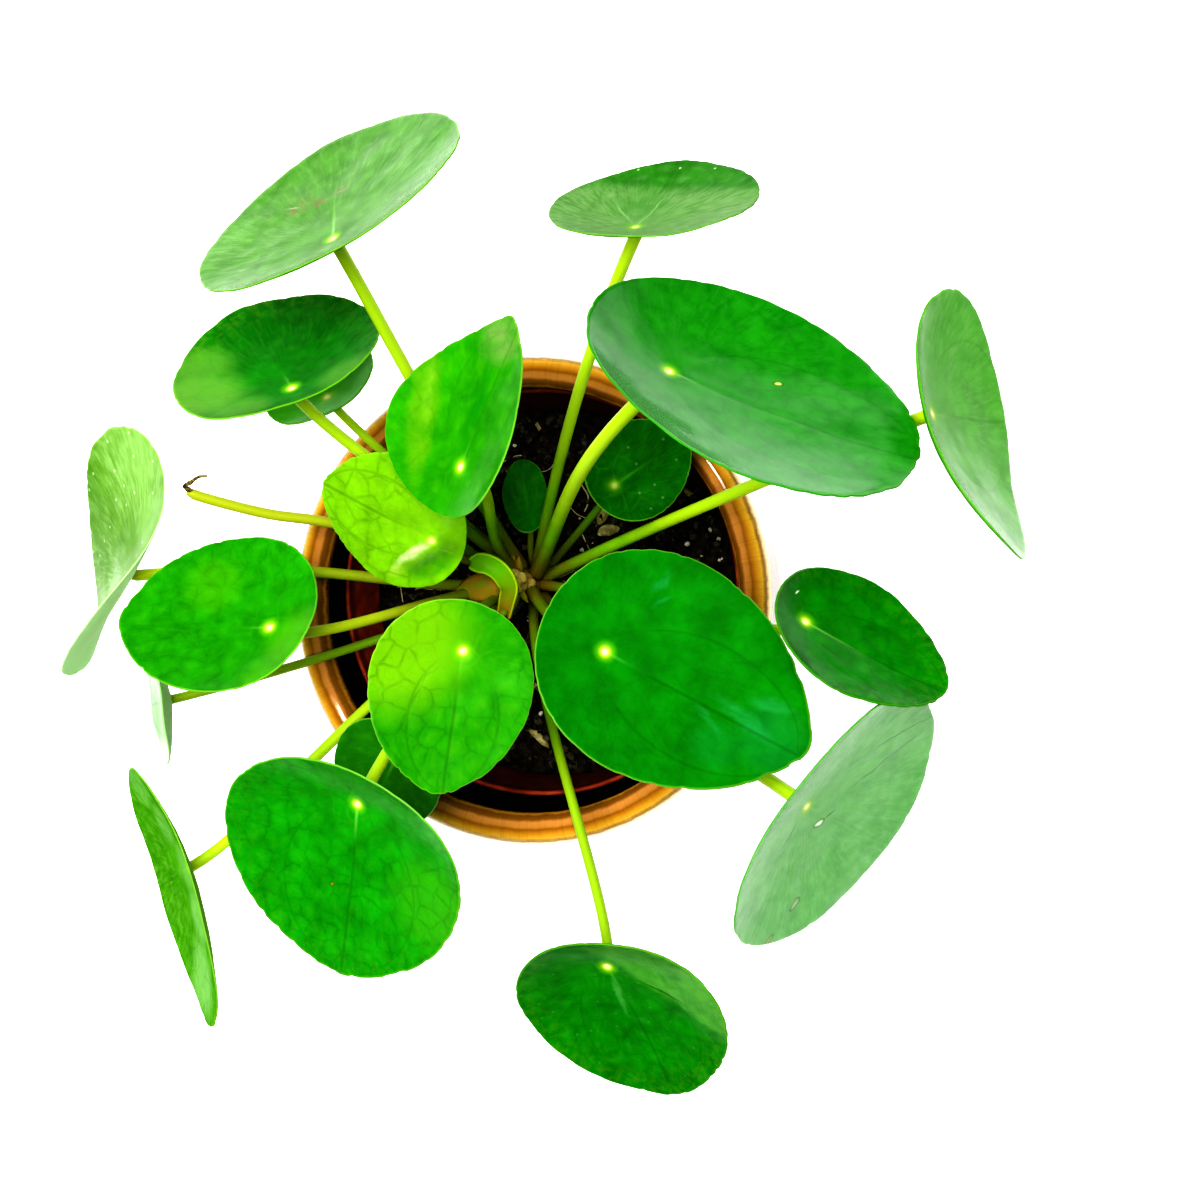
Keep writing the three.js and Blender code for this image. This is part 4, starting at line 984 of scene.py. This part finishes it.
    # the pale line of the margin, and scars of old marks
    margin = addNode(tree, "MapRange",
                     {"Value": parts.outputs["Z"], "From Min": 0.984, "From Max": 0.998, "To Min": 0.0,
                      "To Max": leaf["rim"]})
    edged = addNode(tree, "Mix", {0: margin, 6: skinTone, 7: k["marginTone"]}, data_type="RGBA")
    scar = addNode(tree, "Attribute", attribute_name="scar")
    crustLine = addNode(tree, "Math", {0: crust, 1: 0.5, 2: 0.035}, operation="COMPARE")
    scarShare = addNode(tree, "Math", {0: scar.outputs["Fac"], 1: crustLine}, operation="MULTIPLY")
    markPlace = addNode(tree, "VectorMath", {0: flat, 1: (markSway / 2, markSway / 2, 0)},
                        operation="SUBTRACT")
    bentMark = addNode(tree, "VectorMath",
                       {0: bend.outputs["Color"], 1: (markSway, markSway, 0), 2: markPlace},
                       operation="MULTIPLY_ADD")
    scarred = addNode(tree, "Mix", {0: scarShare, 6: edged, 7: k["scarTone"]}, data_type="RGBA")
    for *ellipse, markTone in leaf["marks"]:
        # a narrow mark is a crease or a pale vein, a wide one a healed knock with a thin dark outline; a
        # dark crease is painted shade in the fold
        wide = ellipse[3] > 1
        off = ellipseReach(tree, bentMark, *ellipse)
        if wide:
            outline = addNode(tree, "Math", {0: off, 1: 1.05, 2: 0.2}, operation="COMPARE")
            outlineShare = addNode(tree, "Math", {0: outline, 1: 0.5}, operation="MULTIPLY")
            scarred = addNode(tree, "Mix", {0: outlineShare, 6: scarred, 7: k["outlineTone"]},
                              data_type="RGBA")
        inside = addNode(tree, "MapRange",
                         {"Value": off, "From Min": 0.4, "From Max": 1.0,
                          "To Min": 0.9 if wide else 0.7, "To Max": 0.0})
        scarred = addNode(tree, "Mix", {0: inside, 6: scarred, 7: markTone}, data_type="RGBA")
    # the dot over the stalk: a whitish core in a yellow-green glow, and the pale start of the midrib
    start = addNode(tree, "MapRange",
                    {"Value": parts.outputs["X"], "From Min": 1 * mm, "From Max": leaf["startLength"] * mm,
                     "To Min": leaf["start"], "To Max": 0.0})
    besideStart = addNode(tree, "MapRange",
                          {"Value": aside, "From Min": 0.1 * mm, "From Max": 0.7 * mm, "To Min": 1.0,
                           "To Max": 0.0})
    inFront = addNode(tree, "Math", {0: parts.outputs["X"], 1: 0.0}, operation="GREATER_THAN")
    startLine = addNode(tree, "Math", {0: start, 1: besideStart}, operation="MULTIPLY")
    startShare = addNode(tree, "Math", {0: startLine, 1: inFront}, operation="MULTIPLY")
    dotted = addNode(tree, "Mix", {0: startShare, 6: scarred, 7: k["startTone"]}, data_type="RGBA")
    for inner, outer, share, fade, dotTone in k["dot"]:
        layer = addNode(tree, "MapRange",
                        {"Value": reach, "From Min": inner * mm, "From Max": outer * mm,
                         "To Min": leaf["dot"] * share, "To Max": 0.0}, interpolation_type=fade)
        dotted = addNode(tree, "Mix", {0: layer, 6: dotted, 7: dotTone}, data_type="RGBA")
    upper = addNode(tree, "Attribute", attribute_name="upper")
    colour = addNode(tree, "Mix", {0: upper.outputs["Fac"], 6: leaf["below"], 7: dotted}, data_type="RGBA")
    # relief: wrinkles that fan out from the stalk, sunken veins and fine grain
    grain = addNode(tree, "Math", {0: mottle, 1: 0.8, 2: wrinkles}, operation="MULTIPLY_ADD")
    height = addNode(tree, "Math", {0: veins, 1: -0.35, 2: grain}, operation="MULTIPLY_ADD")
    relief = addNode(tree, "Bump", {"Strength": leaf["wrinkle"], "Distance": 0.5 * mm, "Height": height})
    dull = addNode(tree, "MapRange",
                   {"Value": upper.outputs["Fac"], "To Min": 0.55, "To Max": leaf["rough"]})
    skin = addNode(tree, "BsdfPrincipled",
                   {"Base Color": colour, "Roughness": dull, "IOR": 1.45,
                    "Specular IOR Level": leaf["gloss"], "Normal": relief})
    addNode(tree, "OutputMaterial", {"Surface": skin})
    return material


# the same hue at a share of its brightness
def darker(hexText, share):
    return "".join(f"{int(int(hexText[i:i + 2], 16) * share):02x}" for i in (0, 2, 4))


# how strongly the nearest spot, given as (x, y, size) and a share where it is weaker, shows at a point
def spotStrength(spots, x, y):
    strongest = 0
    for cx, cy, size, *share in spots:
        strength = 1 - smoothstep(0.5, 1.3, math.hypot(x - cx, y - cy) / size)
        strongest = max(strongest, strength * (share[0] if share else 1))
    return strongest


def makeBlade(number, leaf):
    d = bladeDetail
    along, across, out = bladeAxes(leaf)
    at = Vector(leaf["at"])
    bm = bmesh.new()
    spoke = [bm.verts.new((i / d["rings"], 0, 0)) for i in range(d["rings"] + 1)]
    edges = [bm.edges.new(pair) for pair in zip(spoke, spoke[1:])]
    bmesh.ops.spin(bm, geom=spoke + edges, cent=(0, 0, 0), axis=(0, 0, 1), angle=2 * math.pi,
                   steps=d["spokes"], use_merge=True)
    bmesh.ops.remove_doubles(bm, verts=bm.verts, dist=0.0001)
    bm.normal_update()
    if sum(f.normal.z for f in bm.faces) < 0:
        bmesh.ops.reverse_faces(bm, faces=bm.faces)
    sheet = bm.verts.layers.float_vector.new("sheet")
    arc, upper = bm.verts.layers.float.new("arc"), bm.verts.layers.float.new("upper")
    pale, scar = bm.verts.layers.float.new("pale"), bm.verts.layers.float.new("scar")
    for v in bm.verts:
        share = math.hypot(v.co.x, v.co.y) ** 0.9
        turn = math.atan2(v.co.y, v.co.x) % (2 * math.pi)
        wave = noise.noise(Vector((math.cos(turn) * 5, math.sin(turn) * 5, number * 2.3)))
        trim = d["trim"] - d["scallop"] * max(0, 1 - 5 * abs(wave)) * share ** 8
        rimX, rimY = rimPoint(leaf, turn)
        x, y = rimX * share * trim, rimY * share * trim
        v[sheet] = Vector((x * mm, y * mm, share))
        v[arc] = (abs(y) - arcOffset(leaf, x)) * mm if x > 0 else math.hypot(x, y) * mm
        v[upper] = 1
        v[pale] = spotStrength(leaf["patches"], x, y)
        v[scar] = spotStrength(leaf["scars"], x, y)
        lift = bladeLift(leaf, number, x, y, share, turn) + d["thick"] / 2
        v.co = (at + along * x + across * y + out * lift) * mm
    top = set(bm.verts)
    bm.normal_update()
    bmesh.ops.solidify(bm, geom=bm.faces, thickness=d["thick"] * mm)
    for v in bm.verts:
        if v not in top:
            v[upper] = 0
            v.co += out * d["thinning"] * v[sheet].z ** 3 * mm
    rim = [f for f in bm.faces if len({v[upper] for v in f.verts}) > 1]
    lips = [e for f in rim for e in f.edges if len({v[upper] for v in e.verts}) == 1]
    bmesh.ops.bevel(bm, geom=lips, offset=d["rimBevel"] * mm, segments=2, profile=0.5, material=-1,
                    affect="EDGES")
    finishPiece(f"leaf{number:02d}Blade", bm, [leafBlade(number, leaf)],
                [f"leaf_{number:02d}_blade"])


stalkShape = dict(sides=16, steps=36, sunk=2.2, gap=0.4, seat=0.3, footSwell=0.22, footSpan=0.06,
                  endSwell=0.12, endSpan=0.05, footTones=((0.00, "8c7424"), (0.15, "74801c")))


def leafStalk(name, middle, end):
    # fleshy petiole: olive at its foot and yellow-green above, faintly uneven; the darkening towards the
    # foot is partly painted shade of the pot
    material, tree = newMaterial(name)
    place = addNode(tree, "TexCoord")
    run = addNode(tree, "Attribute", attribute_name="run")
    blotch = addNode(tree, "TexNoise",
                     {"Vector": place.outputs["Object"], "Scale": perSize(7), "Detail": 3})
    uneven = addNode(tree, "Math", {0: blotch, 1: 0.03, 2: run.outputs["Fac"]}, operation="MULTIPLY_ADD")
    rise = addNode(tree, "MapRange", {"Value": uneven, "From Min": 14 * mm, "From Max": 95 * mm})
    tone = addNode(tree, "ValToRGB", {"Fac": rise},
                   stops=[*stalkShape["footTones"], (0.45, middle), (0.80, end)])
    relief = addNode(tree, "Bump", {"Strength": 0.3, "Distance": 0.3 * mm, "Height": blotch})
    flesh = addNode(tree, "BsdfPrincipled",
                    {"Base Color": tone, "Roughness": 0.42, "IOR": 1.42, "Specular IOR Level": 0.3,
                     "Normal": relief})
    addNode(tree, "OutputMaterial", {"Surface": flesh})
    return material


def stalkRoot(root, rise, thick):
    azimuth, height = root
    off = stemRadiusAt(height) + stalkShape["gap"] + thick / 2 * math.sin(math.radians(rise))
    return Vector((*stemShape["centre"], height)) + heading(azimuth, 0) * off


def petiolePath(leaf):
    s, out = stalkShape, bladeAxes(leaf)[2]
    away = heading(leaf["root"][0], leaf["rise"])
    root = stalkRoot(leaf["root"], leaf["rise"], leaf["thick"])
    joint = Vector(leaf["at"])
    back = (root - joint).normalized()
    if leaf["arrive"]:
        leave = heading(leaf["arrive"][0], -leaf["arrive"][1])
    else:
        leave = (back * (1 - leaf["square"]) - out * leaf["square"]).normalized()
    slant = math.sqrt(max(0, 1 - leave.dot(out) ** 2))
    end = joint - out * (bladeDetail["thick"] / 2 + s["gap"] + leaf["thick"] / 2 * slant)
    a, b, c, e = root, root + away * leaf["reach"], end + leave * leaf["hold"], end
    path = [root - away * s["sunk"]]
    for i in range(s["steps"] + 1):
        t = i / s["steps"]
        path.append(a * (1 - t) ** 3 + b * 3 * t * (1 - t) ** 2 + c * 3 * t * t * (1 - t) + e * t ** 3)
    seat = joint - out * s["seat"]
    return path + [end.lerp(seat, 0.5), seat]


# each kind is a material and the leaves that have it; the last one takes all others
def makePetioles(kinds):
    s = stalkShape
    for number, entry in enumerate(leaves, 1):
        leaf = {**plainLeaf, **entry}
        material = next(kind for kind, numbers in kinds if number in numbers or not numbers)
        path = [p * mm for p in petiolePath(leaf)]
        radii = []
        for i in range(len(path)):
            t = i / (len(path) - 1)
            swell = 1 + s["footSwell"] * math.exp(-t / s["footSpan"])
            swell += s["endSwell"] * math.exp(-(1 - t) / s["endSpan"])
            radii.append(leaf["thick"] / 2 * leaf["slim"] * swell * mm)
        bm = bmesh.new()
        sweepStalk(bm, path, radii, s["sides"])
        bmesh.ops.recalc_face_normals(bm, faces=bm.faces)
        finishPiece(f"leaf{number:02d}Petiole", bm, [material],
                    [f"leaf_{number:02d}_petiole"])


# the petiole that lost its blade, and the youngest leaf, still folded
bareShape = dict(root=(164, 103), rise=40, thick=3.2, pinch=0.25,
                 path=((-33, 17, 125), (-58, 23, 138), (-75, 25.5, 145), (-92, 30, 151), (-97, 32, 153)),
                 driedThick=1.3, driedPath=((-94, 31, 152), (-97, 33.2, 154.6), (-94.2, 34.6, 156.8),
                                            (-91.5, 36, 157.8), (-89, 36.3, 157.2)))
foldedShape = dict(root=(247, 115), rise=45, sunk=1.5, stalkThick=2, stalkSides=14, width=5.5,
                   thick=0.9, depth=0.9, steps=8, halves=5,
                   stalk=((-7, -4, 121), (-7.2, -5.2, 126), (-6.6, -3.6, 130.5)),
                   path=((-7, -4.8, 129), (-5.4, -0.5, 131.5), (-4.2, 3.8, 134), (-6.3, 8.2, 136),
                         (-10.2, 10.6, 137), (-15, 10.8, 137)))


def makeBarePetiole(material):
    b, s = bareShape, stalkShape
    root = stalkRoot(b["root"], b["rise"], b["thick"])
    start = [root - heading(b["root"][0], b["rise"]) * s["sunk"], root]
    line = smoothLine(start + [Vector(p) for p in b["path"]], 7)
    radii = []
    for i in range(len(line)):
        t = i / (len(line) - 1)
        swell = 1 + s["footSwell"] * math.exp(-t / s["footSpan"]) - b["pinch"] * smoothstep(0.9, 1, t)
        radii.append(b["thick"] / 2 * swell * mm)
    bm = bmesh.new()
    sweepStalk(bm, [p * mm for p in line], radii, s["sides"])
    bmesh.ops.recalc_face_normals(bm, faces=bm.faces)
    finishPiece("barePetiole", bm, [material], ["bare_petiole"])

    # its end has dried to a shrivelled brown hook
    dried, tree = newMaterial("driedPetioleTip")
    place = addNode(tree, "TexCoord")
    grain = addNode(tree, "TexNoise", {"Vector": place.outputs["Object"], "Scale": perSize(1), "Detail": 3})
    tone = addNode(tree, "ValToRGB", {"Fac": grain}, stops=[(0.38, "2e2410"), (0.62, "7a6a38")])
    husk = addNode(tree, "BsdfPrincipled", {"Base Color": tone, "Roughness": 0.75})
    addNode(tree, "OutputMaterial", {"Surface": husk})
    line = smoothLine([Vector(p) for p in b["driedPath"]], 8)
    bm = bmesh.new()
    radii = []
    for i, p in enumerate(line):
        t = i / (len(line) - 1)
        shrivel = 1 + 0.35 * noise.noise(p * 1.3)
        radii.append(b["driedThick"] / 2 * (1.25 - 0.75 * t) * shrivel * mm)
    sweepStalk(bm, [p * mm for p in line], radii, 12)
    bmesh.ops.recalc_face_normals(bm, faces=bm.faces)
    finishPiece("driedHook", bm, [dried])


def youngFold():
    # the youngest leaf: soft yellow-green, olive at its foot, with a bright thin margin
    material, tree = newMaterial("youngFoldedLeaf")
    sheet = addNode(tree, "Attribute", attribute_name="sheet")
    parts = addNode(tree, "SeparateXYZ", {0: sheet.outputs["Vector"]})
    tone = addNode(tree, "ValToRGB", {"Fac": parts.outputs["X"]},
                   stops=[(0.00, "9a7420"), (0.35, "7a9010"), (0.65, "70b00a"), (1.00, "78ac10")])
    margin = addNode(tree, "MapRange",
                     {"Value": parts.outputs["Y"], "From Min": 0.86, "From Max": 0.98, "To Min": 0.0,
                      "To Max": 0.5})
    colour = addNode(tree, "Mix", {0: margin, 6: tone, 7: "c8d82c"}, data_type="RGBA")
    skin = addNode(tree, "BsdfPrincipled",
                   {"Base Color": colour, "Roughness": 0.4, "Specular IOR Level": 0.4})
    addNode(tree, "OutputMaterial", {"Surface": skin})
    return material


def makeFoldedLeaf(material):
    f = foldedShape
    line = smoothLine([Vector(p) for p in f["path"]], f["steps"])
    bm = bmesh.new()
    sheet = bm.verts.layers.float_vector.new("sheet")
    grid = bmesh.ops.create_grid(bm, x_segments=2 * f["halves"], y_segments=len(line) - 1, size=1)["verts"]
    for v in grid:
        u, t = v.co.x, (v.co.y + 1) / 2
        i = min(round(t * (len(line) - 1)), len(line) - 1)
        ahead = (line[min(i + 1, len(line) - 1)] - line[max(i - 1, 0)]).normalized()
        level = ahead.cross(Vector((0, 0, 1))).normalized()
        rise = level.cross(ahead)
        half = f["width"] / 2 * (2 / 3 + min(1, 2 * t) / 3) * math.sqrt(1 - smoothstep(0.82, 1.03, t) ** 2)
        v[sheet] = Vector((t, abs(u), 0))
        v.co = (line[i] + level * u * half + rise * f["depth"] * (u * u - 0.4)) * mm
    bmesh.ops.recalc_face_normals(bm, faces=bm.faces)
    bmesh.ops.solidify(bm, geom=bm.faces, thickness=f["thick"] * mm)
    finishPiece("foldedLeaf", bm, [youngFold()], ["folded_leaf"])

    root = stalkRoot(f["root"], f["rise"], f["stalkThick"])
    start = [root - heading(f["root"][0], f["rise"]) * f["sunk"], root]
    stalk = smoothLine(start + [Vector(p) for p in f["stalk"]], 6)
    bm = bmesh.new()
    sweepStalk(bm, [p * mm for p in stalk], [f["stalkThick"] / 2 * mm] * len(stalk), f["stalkSides"])
    bmesh.ops.recalc_face_normals(bm, faces=bm.faces)
    finishPiece("foldedLeafStalk", bm, [material])


# sunlit, shaded, hanging and dim petioles are lit and shaded copies of one material, their tones painting
# the light and shade on each stalk; the bare petiole's duller tones are painted shade as well
sunnyStalk = leafStalk("sunlitPetiole", "76a810", "94b01e")
makePetioles([(leafStalk("shadedPetiole", "6c9a10", "94b01c"), (4, 7, 8, 10, 11)),
              (leafStalk("shadedHangingPetiole", "6c9a10", "7c9818"), (12,)),
              (leafStalk("dimPetiole", "5c8010", "748c10"), (9, 17, 20, 21)),
              (leafStalk("olivePetiole", "7c841a", "94a41e"), (15, 16)),
              (sunnyStalk, ())])
makeBarePetiole(leafStalk("barePetiole", "868a1c", "8a921e"))
makeFoldedLeaf(sunnyStalk)
print("petioles grown")
for number, entry in enumerate(leaves, 1):
    makeBlade(number, {**plainLeaf, **entry})
print("blades unfolded")
